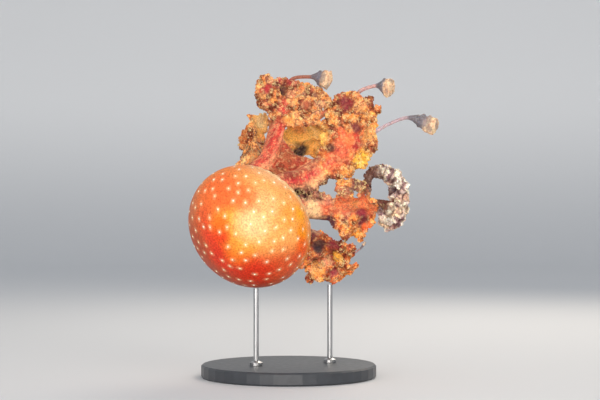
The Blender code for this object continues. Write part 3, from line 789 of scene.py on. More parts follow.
# Patches on the arms: arm, place on it, radius, colour, strength, how far it sinks in. Most are the arms' own
# crimson, maroon, orange and cream marks; the near-black ones, most of which sink in, are painted shade in
# hollows and in holes between the arms, and the big pale yellow ones on arms 2, 7 and 8 are a painted glow of
# light through the jelly.
armMarksShadeAndGlow = [
    (1, (63, 6, 100), 7, "e0564a", 0.9, 0.0), (1, (67, 6, 108), 6, "d8584c", 0.8, 0.0),
    (1, (85, 16, 121), 7, "c02e40", 0.95, 0.0), (1, (82, 17, 108), 9, "b83440", 0.9, 0.3),
    (1, (84, 6, 131), 8, "d8603c", 0.7, 0.0), (1, (80, 2, 133), 7, "d46a44", 0.6, 0.0),
    (1, (78, 10, 134), 8, "c03c40", 0.9, 0.0), (1, (78, 10, 117), 7, "3c222c", 0.97, 3.0),
    (1, (84, 24, 106), 5, "b03a44", 0.8, 0.0), (1, (62, -14, 116), 6, "ac5c44", 0.85, 0.5),
    (1, (58, -27, 119), 7, "dca07c", 0.7, 0.0), (1, (62, -14, 131), 4, "8e6a5c", 0.7, 0.5),
    (1, (57, -7, 95), 8, "fab060", 0.7, 0.0), (1, (70, -6, 124), 6, "f0b890", 0.6, 0.0),
    (2, (76, 1, 127), 10, "84303a", 0.95, 0.6), (2, (84, -12, 124), 8, "f4b070", 0.7, 0.0),
    (2, (81, -1, 129), 6, "ac4440", 0.9, 0.0), (2, (74, 7, 124), 4, "6a2c36", 0.9, 2.5),
    (2, (72, -20, 113), 7, "7a383e", 0.95, 1.8), (2, (71, -19, 114), 5, "7e3a3c", 0.9, 1.2),
    (2, (90, -2, 133), 9, "eea46c", 0.8, 0.0), (2, (66, -14, 100), 9, "f0784e", 0.8, 0.0),
    (2, (64, -24, 102), 7, "f48450", 0.85, 0.0), (2, (59, -27, 92), 7, "ea7250", 0.7, 0.0),
    (2, (69, -47, 88), 13, "fcc04c", 0.95, 0.0), (2, (55, -46, 79), 7, "f09c48", 0.8, 0.0),
    (2, (84, -38, 105), 12, "f6b46c", 0.6, 0.0), (2, (77, 11, 129), 5, "bb6650", 0.8, 0.0),
    (2, (61, 1, 86), 12, "f8b85c", 0.95, 0.3), (2, (56, -14, 87), 6, "4e302e", 0.92, 2.0),
    (2, (47, -10, 72), 7, "a45c4c", 0.7, 0.0),
    (3, (47, -6, 37), 13, "fccc98", 0.95, 0.0), (3, (76, -16, 62), 8, "fda060", 0.85, 0.0),
    (3, (74, -30, 68), 7, "943540", 0.95, 1.2), (3, (73, -38, 65), 9, "561c28", 0.97, 2.0),
    (3, (80, -34, 68), 6, "7c2c34", 0.85, 1.0), (3, (70, -44, 54), 9, "f6a444", 0.7, 0.0),
    (3, (69, -40, 48), 7, "b0664c", 0.7, 0.0), (3, (78, -43, 64), 8, "f46c34", 0.85, 0.0),
    (3, (82, -26, 76), 9, "f07c48", 0.6, 0.0), (3, (66, -24, 57), 7, "a8544c", 0.7, 0.0),
    (3, (53, -27, 48), 9, "583640", 0.95, 0.0), (3, (77, 2, 55), 11, "b47c64", 0.8, 0.0),
    (3, (85, 3, 64), 9, "7d5a50", 0.85, 0.0), (3, (57, -2, 56), 9, "eba07c", 0.7, 0.0),
    (3, (67, -17, 57), 9, "f0845c", 0.7, 0.0), (3, (88, -8, 72), 9, "8e6658", 0.85, 0.0),
    (3, (88, -26, 104), 5, "3c3034", 0.97, 3.0),
    (4, (58, -5, 36), 9, "583a3c", 0.9, 0.3), (4, (60, -11, 35), 6, "43363a", 0.95, 0.8),
    (4, (69, 5, 39), 8, "98404a", 0.9, 1.0), (4, (83, -28, 38), 6, "a84450", 0.9, 1.2),
    (4, (79, -9, 42), 7, "fdb848", 0.95, 0.0), (4, (84, -12, 33), 8, "e8643c", 0.6, 0.0),
    (4, (70, -28, 29), 9, "fab060", 0.8, 0.0), (4, (94, -17, 44), 9, "ee7c40", 0.8, 0.0),
    (4, (90, -34, 40), 8, "f09450", 0.7, 0.0), (4, (78, -20, 44), 4, "7e3038", 0.85, 1.0),
    (4, (73, -20, 38), 6, "f2a47c", 0.8, 0.0),
    (7, (12, -22, 122), 32, "ffba5c", 0.97, 0.3), (7, (18, -29, 128), 9, "f0a060", 0.7, 0.3),
    (7, (5, -18, 103), 15, "281e24", 0.98, 2.5), (7, (15, -9, 112), 11, "2a2026", 0.97, 0.5),
    (7, (12, -24, 90), 6, "a65036", 0.8, 0.0),
    (8, (65, -6, 104), 16, "ffc87c", 0.97, 0.3), (8, (60, 4, 97), 10, "ffba68", 0.9, 0.3),
    (8, (71, 14, 95), 15, "c46a38", 0.85, 0.0), (8, (65, -6, 106), 9, "ffdca0", 0.9, 0.3),
]


def fieldAt(points):  # what grows at each point of the arms and the fringe
    index, distance = nearest(samples[:, :3], points)
    chosen = samples[index]
    owner, share = chosen[:, 3].astype(int), chosen[:, 4].copy()
    around, radius = np.zeros(len(points)), np.zeros(len(points))
    wobble = np.array([noise.noise(Vector(p) / 9.0) for p in points])
    swell = np.array([noise.noise(Vector(p) / skinShape["swell"]) for p in points])
    blot = np.array([noise.noise(Vector(p) / 4.2 + Vector((9, 3, 5))) for p in points])
    clump, clumpNumber = cells(points, skinShape["clump"])
    floret, floretNumber = cells(points, skinShape["floret"])
    frill, bare, trim = np.zeros(len(points)), np.zeros(len(points)), np.zeros(len(points))
    down, streak = np.zeros(len(points)), np.zeros(len(points))
    for arm, look in zip(mouthArms, armLooks):
        here = owner == arm.number
        share[here], around[here], radius[here] = arm.locate(points[here], share[here])
        d, turn, wave = (share[here] - arm.split) / (1 - arm.split), around[here], wobble[here]
        out = radius[here] / np.maximum(chosen[here, 5], 4.0)
        length, facing, spread, reach = look["bare"]
        facing = smooth(spread + 15, spread - 15, np.abs((turn - arm.turn - facing + 180) % 360 - 180))
        bare[here] = facing * smooth(reach + 0.15, reach - 0.15, out + 0.2 * wave)
        bare[here] = bare[here] * smooth(0.14, -0.14, d - length + 0.25 * wave)
        frill[here] = smooth(-0.10, 0.04, d + 0.08 * wave) * (1 - bare[here])
        if look["trim"]:
            angle, half, start, end = look["trim"]
            edge = smooth(half + 14, half - 8, np.abs((turn - angle + 180) % 360 - 180) + 24 * wave)
            edge = edge * smooth(start - 0.05, start + 0.05, share[here])
            edge = edge * smooth(end + 0.06, end, share[here])
            trim[here] = edge
            frill[here] = np.maximum(frill[here], edge)
        down[here] = d
        streak[here] = [
            noise.noise(Vector((a / 13, t * 9, arm.number))) + 0.5 * noise.noise(Vector((a / 6, t * 24, 7.0)))
            for a, t in zip(turn, share[here])
        ]
    isFringe = owner == 0
    frill[isFringe] = smooth(0.02, 0.09, share[isFringe])
    trunk = distance > 4.0
    frill[trunk] = 0
    mottle = np.where(isFringe, 0.0, np.maximum(frill, 0.55))
    sink, sunk = np.zeros(len(points)), np.zeros(len(points))
    for number, place, size, _, strength, depth in armMarksShadeAndGlow:
        apart = np.linalg.norm(points - mouthArms[number - 1].place(*place), axis=1)
        patch = smooth(1.0, 0.3, apart / size + 0.35 * wobble)
        sink = np.maximum(sink, patch * depth)
        if depth > 0:
            sunk = np.maximum(sunk, patch)
    frill, mottle = frill * (1 - sunk), mottle * (1 - 0.8 * sunk)
    return dict(
        owner=owner, share=share, down=down, around=around, radius=radius, reach=chosen[:, 5], frill=frill,
        bare=bare, trim=trim, mottle=mottle, clump=clump, clumpNumber=clumpNumber, floret=floret,
        floretNumber=floretNumber, swell=swell, wobble=wobble, blot=blot, streak=streak, trunk=trunk,
        sink=sink,
    )


print("making the arms")
mouthArms = [MouthArm(number) for number in range(1, disc["arms"] + 1)]
armBodies, armSamples = makeArms()
fringeBodies, fringeSamples = makeFringe()
samples = np.array(armSamples + fringeSamples)
armBody = joined([*makeTrunk(), *armBodies, *fringeBodies], "armBody")
remesh = armBody.modifiers.new("remesh", "REMESH")
remesh.mode = "VOXEL"
remesh.voxel_size = skinShape["voxel"]
armMesh = evaluated(armBody, "armMesh")
discard(armBody)

# The remeshed body is relaxed, then raised into clumps and florets where it is frilled.
points = pointsOf(armMesh)
ends = np.empty(len(armMesh.edges) * 2, np.int64)
armMesh.edges.foreach_get("vertices", ends)
a, b = ends.reshape(-1, 2).T
shared = np.bincount(np.concatenate([a, b]), minlength=len(points))[:, None]
for _ in range(skinShape["smoothing"]):
    total = np.zeros_like(points)
    np.add.at(total, a, points[b])
    np.add.at(total, b, points[a])
    points = points + (total / np.maximum(shared, 1) - points) * 0.5
movePoints(armMesh, points)
field = fieldAt(points)
pale = field["owner"] == 0
lift = field["clump"] * skinShape["clumpHeight"] * np.where(pale, 0.7, 1.0)
lift = lift + field["floret"] * skinShape["floretHeight"] * np.where(pale, 1.5, 1.0)
lift = field["frill"] * (lift + np.maximum(field["swell"], 0) * skinShape["swellHeight"])
lift = lift * np.where(field["owner"] > 6, 0.6, 1.0) - field["sink"]
points = points + normalsOf(armMesh) * lift[:, None]
movePoints(armMesh, points)
armSkin = newObject("armSkin", armMesh)
print("arm skin", len(armMesh.polygons))

bellShell, bellBedMesh = makeBell()
threadBody = joined([makeFeeler(shape) for shape in feelers], "threadBody")
for other in (bellShell, threadBody):
    union = armSkin.modifiers.new("union", "BOOLEAN")
    union.operation = "UNION"
    union.solver = "MANIFOLD"
    union.object = other
skinMesh = evaluated(armSkin, "jellySkin")
discard(armSkin, bellShell, threadBody)
print("skin", len(skinMesh.polygons))

# The bell's zones and painted glow, all soft: azimuth, latitude, full within, gone beyond, colour, strength.
# The orange and red ones are the bell's own colour; the pale cream ones on the near side are a painted glow
# of light through the jelly.
bellZonesAndGlow = [
    (-8, -8, 20, 72, "f4a45e", 1.0), (-30, 25, 14, 44, "f2a258", 0.9), (25, -31, 8, 30, "eeb07a", 0.8),
    (150, 52, 24, 62, "b04a30", 0.95), (-110, 50, 18, 56, "b8472a", 0.95),
    (-62, 26, 6, 30, "cc5028", 0.85), (100, 30, 6, 34, "cc7048", 0.85), (54, 24, 10, 34, "ea6a34", 0.9),
    (28, 26, 3, 24, "f07038", 0.8), (52, 66, 6, 20, "dc3a26", 0.85), (-30, 83, 8, 24, "d83822", 0.95),
    (-68, 64, 6, 24, "d23a20", 0.95), (68, 52, 4, 20, "dc5230", 0.7), (30, 54, 4, 22, "f5862e", 0.9),
    (-30, 66, 5, 20, "f57f28", 0.9), (12, 62, 4, 18, "f78f34", 0.9), (19, 44, 4, 20, "f49c38", 0.95),
    (-12, 54, 4, 20, "f4a040", 0.95), (29, 66, 3, 13, "d83a1e", 0.9), (35, 56, 3, 12, "ee6a20", 0.8),
    (38, 30, 4, 18, "ee6a36", 0.7), (-40, -2, 3, 12, "f2820e", 0.9), (-56, 0, 3, 14, "ec5420", 0.9),
    (-75, 50, 8, 34, "d43820", 0.9), (-76, 22, 6, 24, "dc5a34", 0.8), (-1, 38, 6, 24, "f4bf84", 1.0),
    (5, 14, 5, 22, "f2b072", 0.9), (24, 22, 6, 20, "ec7038", 0.8), (-20, 0, 5, 18, "f2983e", 0.8),
    (-25, -14, 2, 13, "f6a42a", 0.95), (-39, -6, 2, 13, "f2901a", 0.95), (-50, 3, 2, 13, "ee6218", 0.9),
    (-60, 12, 2, 13, "d84c20", 0.8),
]
capTone, capCreaseShade, neckTone = linear("f0cfaa"), linear("cc9a7c"), linear("777278")


def paint(tone, code, weight):
    return tone + (linear(code) - tone) * np.clip(weight, 0, 1)[:, None]


def bellTone(points):
    directions = unit(points / bellSize)
    tone = np.tile(linear("ea8440"), (len(points), 1))
    for azimuth, latitude, inner, outer, code, strength in bellZonesAndGlow:
        a, b = math.radians(azimuth), math.radians(latitude)
        middle = np.array([math.cos(b) * math.cos(a), math.cos(b) * math.sin(a), math.sin(b)])
        apart = np.degrees(np.arccos(np.clip(directions @ middle, -1, 1)))
        tone = paint(tone, code, strength * smooth(outer, inner, apart))
    latitude = np.degrees(np.arcsin(np.clip(directions[:, 2], -1, 1)))
    return paint(tone, "f8cd98", 0.85 * smooth(-24, -29, latitude))


def armTone(points, at):
    tone = np.tile(linear("e2a076"), (len(points), 1))
    for arm, look in zip(mouthArms, armLooks):
        here = at["owner"] == arm.number
        if not here.any():
            continue
        own = {key: values[here] for key, values in at.items()}
        first, last = look["stripe"]
        middles = dict(
            stripe=first + (last - first) * np.clip(own["share"] / arm.split, 0, 1.4), pale=look["pale"],
            shade=look["shade"])
        soft = 14 * own["wobble"] + 34 * own["streak"]
        apart = {
            key: np.abs((own["around"] - middles[key] + 180) % 360 - 180) + soft for key in middles
        }
        stalk = np.tile(linear(look["stalk"]), (here.sum(), 1))
        stalk = paint(stalk, look["dark"], 0.85 * smooth(60, 15, apart["shade"]))
        stalk = paint(stalk, look["light"], 0.9 * smooth(62, 18, apart["pale"]))
        wide = look["wide"]
        stalk = paint(stalk, look["crimson"], 0.95 * smooth(wide + 18, wide - 18, apart["stripe"]))
        stalk = paint(stalk, look["light"], 0.6 * smooth(0.4, 0.1, own["share"] / arm.split))
        stalk = paint(stalk, look["light"], 0.5 * smooth(0.15, 0.5, own["streak"]))
        stalk = paint(stalk, look["dark"], 0.45 * smooth(-0.12, -0.45, own["streak"]))
        main, bright, peach, red = look["head"]
        number = 0.4 * own["clumpNumber"]
        head = np.tile(linear(main), (here.sum(), 1))
        head = paint(head, bright, smooth(0.15, 0.5, own["wobble"] + number))
        head = paint(head, peach, 0.9 * smooth(0.3, 0.6, number - own["swell"]))
        head = paint(head, red, 0.8 * smooth(0.34, 0.6, 0.9 * own["swell"] - 0.5 * own["wobble"] + number))
        head = paint(head, bright, 0.45 * smooth(0.3, 0.1, own["floretNumber"]))
        head = paint(head, red, 0.45 * smooth(0.78, 0.9, own["floretNumber"]))
        # Painted shade in the creases between clumps and florets.
        head = paint(head, headCreaseShade, 0.5 * smooth(0.3, 0.02, own["clump"]))
        head = paint(head, headCreaseShade, 0.35 * smooth(0.24, 0.02, own["floret"]))
        head = paint(head, look["stalk"], 0.85 * own["bare"])
        flushed = 0.8 * own["bare"] * smooth(0.0, 0.4, own["swell"] + 0.6 * own["streak"])
        head = paint(head, look["crimson"], flushed)
        tone[here] = stalk + (head - stalk) * smooth(-0.15, 0.08, own["down"])[:, None]
        # The trims: painted shade, dark between their small frills, with paler raised tips.
        tone[here] = paint(tone[here], "4c322e", 0.95 * own["trim"])
        tips = smooth(0.3, 0.6, own["floret"] - own["blot"])
        tone[here] = paint(tone[here], "eab894", 0.9 * own["trim"] * tips)
    pale = at["owner"] == 0
    main, bright, peach, red = fringeLook["head"]
    own = {key: values[pale] for key, values in at.items()}
    cream = np.tile(linear(main), (pale.sum(), 1))
    cream = paint(cream, bright, smooth(0.45, 0.1, own["clumpNumber"]))
    cream = paint(cream, peach, smooth(0.7, 0.9, own["clumpNumber"]))
    # Painted shade in the fringe's creases, and darker in stretches where the noise runs high.
    cream = paint(cream, fringeLook["creaseShade"], 0.75 * smooth(0.3, 0.03, own["clump"]))
    cream = paint(cream, fringeLook["creaseShade"], 0.65 * smooth(0.28, 0.02, own["floret"]))
    cream = paint(cream, fringeLook["creaseShade"], 0.5 * smooth(0.25, 0.55, own["wobble"]))
    tone[pale] = paint(cream, fringeLook["web"], 0.9 * smooth(0.42, 0.24, own["share"]))
    tone[at["owner"] == -1] = linear(fringeLook["web"])
    flesh = at["owner"] == -2
    tone[flesh] = linear(webLook["main"])
    tone[flesh] = paint(tone[flesh], webLook["rosy"], smooth(-0.1, 0.3, at["swell"][flesh]))
    tone[flesh] = paint(tone[flesh], webLook["brown"], 0.8 * smooth(0.05, 0.35, at["wobble"][flesh]))
    # Random darker and lighter stretches, strongest on the frills and the fringe, stand partly for painted
    # shade down in the crumpled jelly; the darker ones go redder.
    uneven = 1.5 * at["wobble"] + 1.3 * at["blot"] + 0.35 * (at["floretNumber"] - 0.5)
    uneven = uneven * np.where(at["owner"] == 0, 0.9, 0.25 + 0.75 * at["frill"])
    uneven = np.clip(0.96 + 0.95 * uneven, 0.16, 1.4)[:, None]
    tone = tone * uneven ** [0.85, 1.15, 1.0]
    tone = tone * np.where(at["owner"] == 0, 1.0, np.where(at["down"] < 0, 0.96, 0.93))[:, None]
    tone[:, 1:] *= np.where(at["owner"] == 0, 0.94, np.where(at["down"] < 0, 0.86, 0.77))[:, None]
    tone[at["trunk"]] = linear("e2a076")
    # Patches go on last: the arms' own marks, painted shade in hollows and holes, and a painted glow.
    for number, place, size, code, strength, _ in armMarksShadeAndGlow:
        apart = np.linalg.norm(points - mouthArms[number - 1].place(*place), axis=1)
        tone = paint(tone, code, strength * smooth(1.0, 0.45, apart / size + 0.35 * at["wobble"]))
    return tone


print("marking the skin")
skinPoints = pointsOf(skinMesh)
index, _ = nearest(points, skinPoints)
field = {key: values[index] for key, values in field.items()}
level = np.linalg.norm(skinPoints / bellSize, axis=1)
angle = np.arcsin(np.clip(skinPoints[:, 2] / bellSize[2] / np.maximum(level, 1e-6), -1, 1))
depth = (1 - level) * 52
inJelly = depth < jellyThickness(angle, math.radians(-36)) + 0.7
isBell = inJelly & (angle > math.radians(-38)) & (level < 1.01)
isOuter = isBell & (depth < 1.3)
threadPlaces = np.array([
    (*curve.point(t), k, t)
    for k, curve in enumerate(map(stemCurve, feelers)) for t in np.linspace(0.03, 1, 80)
])
index, threadDistance = nearest(threadPlaces[:, :3], skinPoints)
threadOwner, threadShare = threadPlaces[index, 3].astype(int), threadPlaces[index, 4]
clubRadius = np.array([shape["club"] for shape in feelers])[threadOwner]
threadReach = np.where(threadShare > 0.56, clubRadius + 1.8, 2.6)
_, armDistance = nearest(points, skinPoints)
isThread = (threadDistance < threadReach) & ~isBell & (armDistance > 0.02)
onArm = ~isBell & ~isThread

tone = armTone(skinPoints, field)
tone[isBell] = linear("eba06c")
tone[isOuter] = bellTone(skinPoints[isOuter])
club = smooth(0.80, 0.88, threadShare)
lump, _ = cells(skinPoints, 3.4)
# A club's cap is cream on its lumps, with painted shade in the creases between them.
capTones = capCreaseShade + (capTone - capCreaseShade) * smooth(0.02, 0.3, lump)[:, None]
threadTone = np.array([linear(shape["tone"]) for shape in feelers])[threadOwner]
threadTone = threadTone + (neckTone - threadTone) * (smooth(0.52, 0.64, threadShare) * (1 - club))[:, None]
threadTone = threadTone + (capTones - threadTone) * club[:, None]
# Painted shade: grey-blue blotches of the neck's colour over the club.
clubShadeBlotches = smooth(0.0, 0.3, np.array([noise.noise(Vector(p) / 5.5) for p in skinPoints]))
clubShadeBlotches = clubShadeBlotches * smooth(0.6, 0.7, threadShare)
threadTone = threadTone + (neckTone - threadTone) * (0.6 * clubShadeBlotches)[:, None]
tone[isThread] = threadTone[isThread]
frill = field["frill"] * onArm

# The coat: granular spots on the bell and small crumpled mouths on the frills, all scattered by one tree.
spotShape = dict(spacing=8.7, smallest=0.42, largest=0.85, halo=1.7, seed=7)
tuftPatch = 0.003  # how much of its coat's layout one tuft takes


def layOut(mesh, steps, rings):  # a tuft's own square: round it one way and up it the other
    made = mesh.uv_layers.new(name="OFBake")
    values = []
    for face in mesh.polygons:
        turns = [v % steps for v in face.vertices if v < steps * rings]
        if max(turns) - min(turns) > steps / 2:
            turns = [k + steps if k < steps / 2 else k for k in turns]
        for v in face.vertices:
            if v < steps * rings:
                k = v % steps
                k = k + steps if max(turns) >= steps and k < steps / 2 else k
                values += [k / steps, (v // steps + 1) / (rings + 1)]
            else:
                values += [np.mean(turns) / steps, 0.0 if v == steps * rings else 1.0]
    made.data.foreach_set("uv", values)


def makeTuft(name, steps, rings, rims, bottom, top):  # rings are (radii, heights) round it
    turns = np.arange(steps) * math.tau / steps
    points = [
        (r[k] * math.cos(turns[k]), r[k] * math.sin(turns[k]), z[k]) for r, z in rings for k in range(steps)
    ]
    points += [(0, 0, bottom), (0, 0, top)]
    last = (len(rings) - 1) * steps
    faces = loftFaces(len(rings), steps)
    faces += [((k + 1) % steps, k, len(points) - 2) for k in range(steps)]
    faces += [(last + k, last + (k + 1) % steps, len(points) - 1) for k in range(steps)]
    mesh = meshOf(name, points, faces)
    mesh.shade_smooth()
    # Rim runs from a tuft's foot to its lip; the frill finish turns it into painted shade, darker low down
    # and down in a cup.
    setAttribute(mesh, "rim", np.concatenate([np.repeat(rims[:-2], steps), rims[-2:]]))
    layOut(mesh, steps, len(rings))
    return mesh


def makeMouth(seed):  # a small crumpled cup
    draw = np.random.default_rng(seed)
    turn = np.arange(7) * math.tau / 7
    a, b, c = draw.uniform(0, math.tau, 3)
    wave = 0.26 * np.sin(2 * turn + a) + 0.12 * np.sin(3 * turn + b)
    wide = 1.0 + 0.24 * np.sin(3 * turn + c)
    rings = [
        (0.35 + 0 * turn, -0.35 + 0 * turn), (0.72 * wide, 0.2 + 0.3 * wave), (wide, 0.8 + wave),
        (0.6 * wide, 0.62 + 0.6 * wave),
    ]
    return makeTuft("mouth", 7, rings, (0.0, 0.5, 1.0, 0.45, 0.0, 0.1), -0.5, 0.38)


def makeGrain(seed):  # a rounded lump of two or three grains
    draw = np.random.default_rng(seed + 100)
    turn = np.arange(7) * math.tau / 7
    a, b = draw.uniform(0, math.tau, 2)
    wide = 1.0 + 0.2 * np.sin(2 * turn + a) + 0.12 * np.sin(3 * turn + b)
    wave = 0.14 * np.sin(2 * turn + b)
    rings = [(0.6 * wide, -0.4 + 0 * turn), (wide, 0.15 + wave), (0.66 * wide, 0.68 + wave)]
    return makeTuft("grain", 7, rings, (0.0, 0.6, 1.0, 0.0, 1.0), -0.5, 0.86)


def makeSpot():
    still = np.zeros(8)
    rings = [(1.0 + still, -0.35 + still), (0.98 + still, 0.05 + still), (0.62 + still, 0.42 + still)]
    return makeTuft("spot", 8, rings, (1.0, 1.0, 1.0, 1.0, 1.0), -0.4, 0.55)


def scatterTree(name):
    tree = bpy.data.node_groups.new(name, "GeometryNodeTree")
    sockets = {}
    for label, kind in (
        ("Bed", "Geometry"), ("Spacing", "Float"), ("Most per square metre", "Float"),
        ("Smallest", "Float"), ("Largest", "Float"), ("Lean", "Float"), ("Seed", "Int"),
        ("Shapes", "Collection"), ("Finish", "Material"),
    ):
        kind = "NodeSocket" + kind
        sockets[label] = tree.interface.new_socket(name=label, in_out="INPUT", socket_type=kind).identifier
    tree.interface.new_socket(name="Tufts", in_out="OUTPUT", socket_type="NodeSocketGeometry")
    given = addNode(tree, "NodeGroupInput").outputs
    named = "GeometryNodeInputNamedAttribute"
    amount = addNode(tree, named, {"Name": "amount"}, data_type="FLOAT").outputs[0]
    lie = addNode(tree, named, {"Name": "lie"}, data_type="FLOAT_VECTOR").outputs[0]
    sized = addNode(tree, named, {"Name": "size"}, data_type="FLOAT").outputs[0]
    spread = addNode(tree, "GeometryNodeDistributePointsOnFaces", {
        "Mesh": given["Bed"], "Distance Min": given["Spacing"], "Density Max": given["Most per square metre"],
        "Density Factor": amount, "Seed": given["Seed"],
    }, distribute_method="POISSON").outputs
    vector, random = "ShaderNodeVectorMath", "FunctionNodeRandomValue"
    leaning = addNode(tree, vector, {0: lie, "Scale": given["Lean"]}, operation="SCALE").outputs[0]
    upward = addNode(tree, vector, {0: spread["Normal"], 1: leaning}, operation="ADD").outputs[0]
    aligned = addNode(tree, "FunctionNodeAlignRotationToVector", {"Vector": upward}, axis="Z").outputs[0]
    spin = addNode(tree, random, {
        0: (-0.3, -0.3, 0.0), 1: (0.3, 0.3, math.tau), "Seed": 11,
    }, data_type="FLOAT_VECTOR").outputs[0]
    spun = addNode(tree, "FunctionNodeEulerToRotation", {0: spin}).outputs[0]
    turned = addNode(tree, "FunctionNodeRotateRotation", {
        0: aligned, 1: spun,
    }, rotation_space="LOCAL").outputs[0]
    size = addNode(tree, random, {
        2: given["Smallest"], 3: given["Largest"], "Seed": 23,
    }, data_type="FLOAT").outputs[1]
    scale = addNode(tree, "ShaderNodeMath", {0: size, 1: sized}, operation="MULTIPLY").outputs[0]
    shapes = addNode(tree, "GeometryNodeCollectionInfo", {
        "Collection": given["Shapes"], "Separate Children": True, "Reset Children": True,
    }).outputs[0]
    placed = addNode(tree, "GeometryNodeInstanceOnPoints", {
        "Points": spread["Points"], "Instance": shapes, "Pick Instance": True, "Rotation": turned,
        "Scale": scale,
    }).outputs[0]
    real = addNode(tree, "GeometryNodeRealizeInstances", {"Geometry": placed}).outputs[0]
    finished = addNode(tree, "GeometryNodeSetMaterial", {
        "Geometry": real, "Material": given["Finish"],
    }).outputs[0]
    addNode(tree, "NodeGroupOutput", {0: finished})
    return tree, sockets


tufting, tuftingInputs = scatterTree("tufting")


def scatter(name, bed, shapes, finish, spacing, smallest, largest, lean, seed):
    spread = bed.modifiers.new("scatter", "NODES")
    spread.node_group = tufting
    values = {
        "Spacing": spacing * mm, "Most per square metre": 1.6e6 / spacing**2, "Smallest": smallest * mm,
        "Largest": largest * mm, "Lean": lean, "Seed": seed, "Shapes": shapes, "Finish": finish,
    }
    for label, value in values.items():
        spread[tuftingInputs[label]] = value
    mesh = evaluated(bed, name)
    mesh.materials.clear()
    discard(bed)
    corners = np.empty(len(mesh.loops), np.int64)
    mesh.loops.foreach_get("vertex_index", corners)
    layer = mesh.uv_layers["OFBake"]
    own = np.empty(len(corners) * 2, np.float32)
    layer.data.foreach_get("uv", own)
    root = np.stack([readAttribute(mesh, "unwrapU")[corners], readAttribute(mesh, "unwrapV")[corners]], 1)
    own = root * (1 - tuftPatch) + own.reshape(-1, 2) * tuftPatch
    layer.data.foreach_set("uv", own.astype(np.float32).ravel())
    for extra in ("amount", "lie", "size", "unwrapU", "unwrapV"):
        if extra in mesh.attributes:
            mesh.attributes.remove(mesh.attributes[extra])
    print(name, len(mesh.polygons))
    return newObject(name, mesh, finish)


def shapeSet(name, meshes):
    group = bpy.data.collections.new(name)
    for i, mesh in enumerate(meshes):
        group.objects.link(bpy.data.objects.new(f"{name}{i}", mesh))
    return group


jellyLooks = dict(
    # A watery jelly: light goes in a little way and comes out soft, over fine grains in it.
    skin=dict(
        grain=1.5, grainDepth=0.4, blotch=4.0, bruise="84423c", bruised=0.7, bright="fddc9c", brightened=0.4,
        roughness=(0.42, 0.56), soft=0.3, relief=0.3, shade=(1.0, 1.0),
    ),
    # The same jelly drawn out thin and crumpled: matt, with painted shade that makes it darker down in its
    # cups.
    frill=dict(
        grain=1.5, grainDepth=0.3, blotch=6.0, bruise="84423c", bruised=0.75, bright="ffe0a0", brightened=0.6,
        roughness=(0.5, 0.66), soft=0.2, relief=0.2, shade=(0.84, 1.08),
    ),
    # Dense white grains, drier and brighter than the skin round them.
    spot=dict(
        grain=0.5, grainDepth=0.06, blotch=5.0, bruise="8a3430", bruised=0.0, bright="ffffff", brightened=0.0,
        roughness=(0.45, 0.55), soft=0.2, relief=0.1, shade=(1.0, 1.0),
    ),
)


def shaderTree(name):
    made = bpy.data.materials.new(name)
    made.use_nodes = True
    made.node_tree.nodes.clear()
    return made, made.node_tree, addNode(made.node_tree, "ShaderNodeTexCoord").outputs["Object"]


def colour(code):
    return (*linear(code), 1.0)


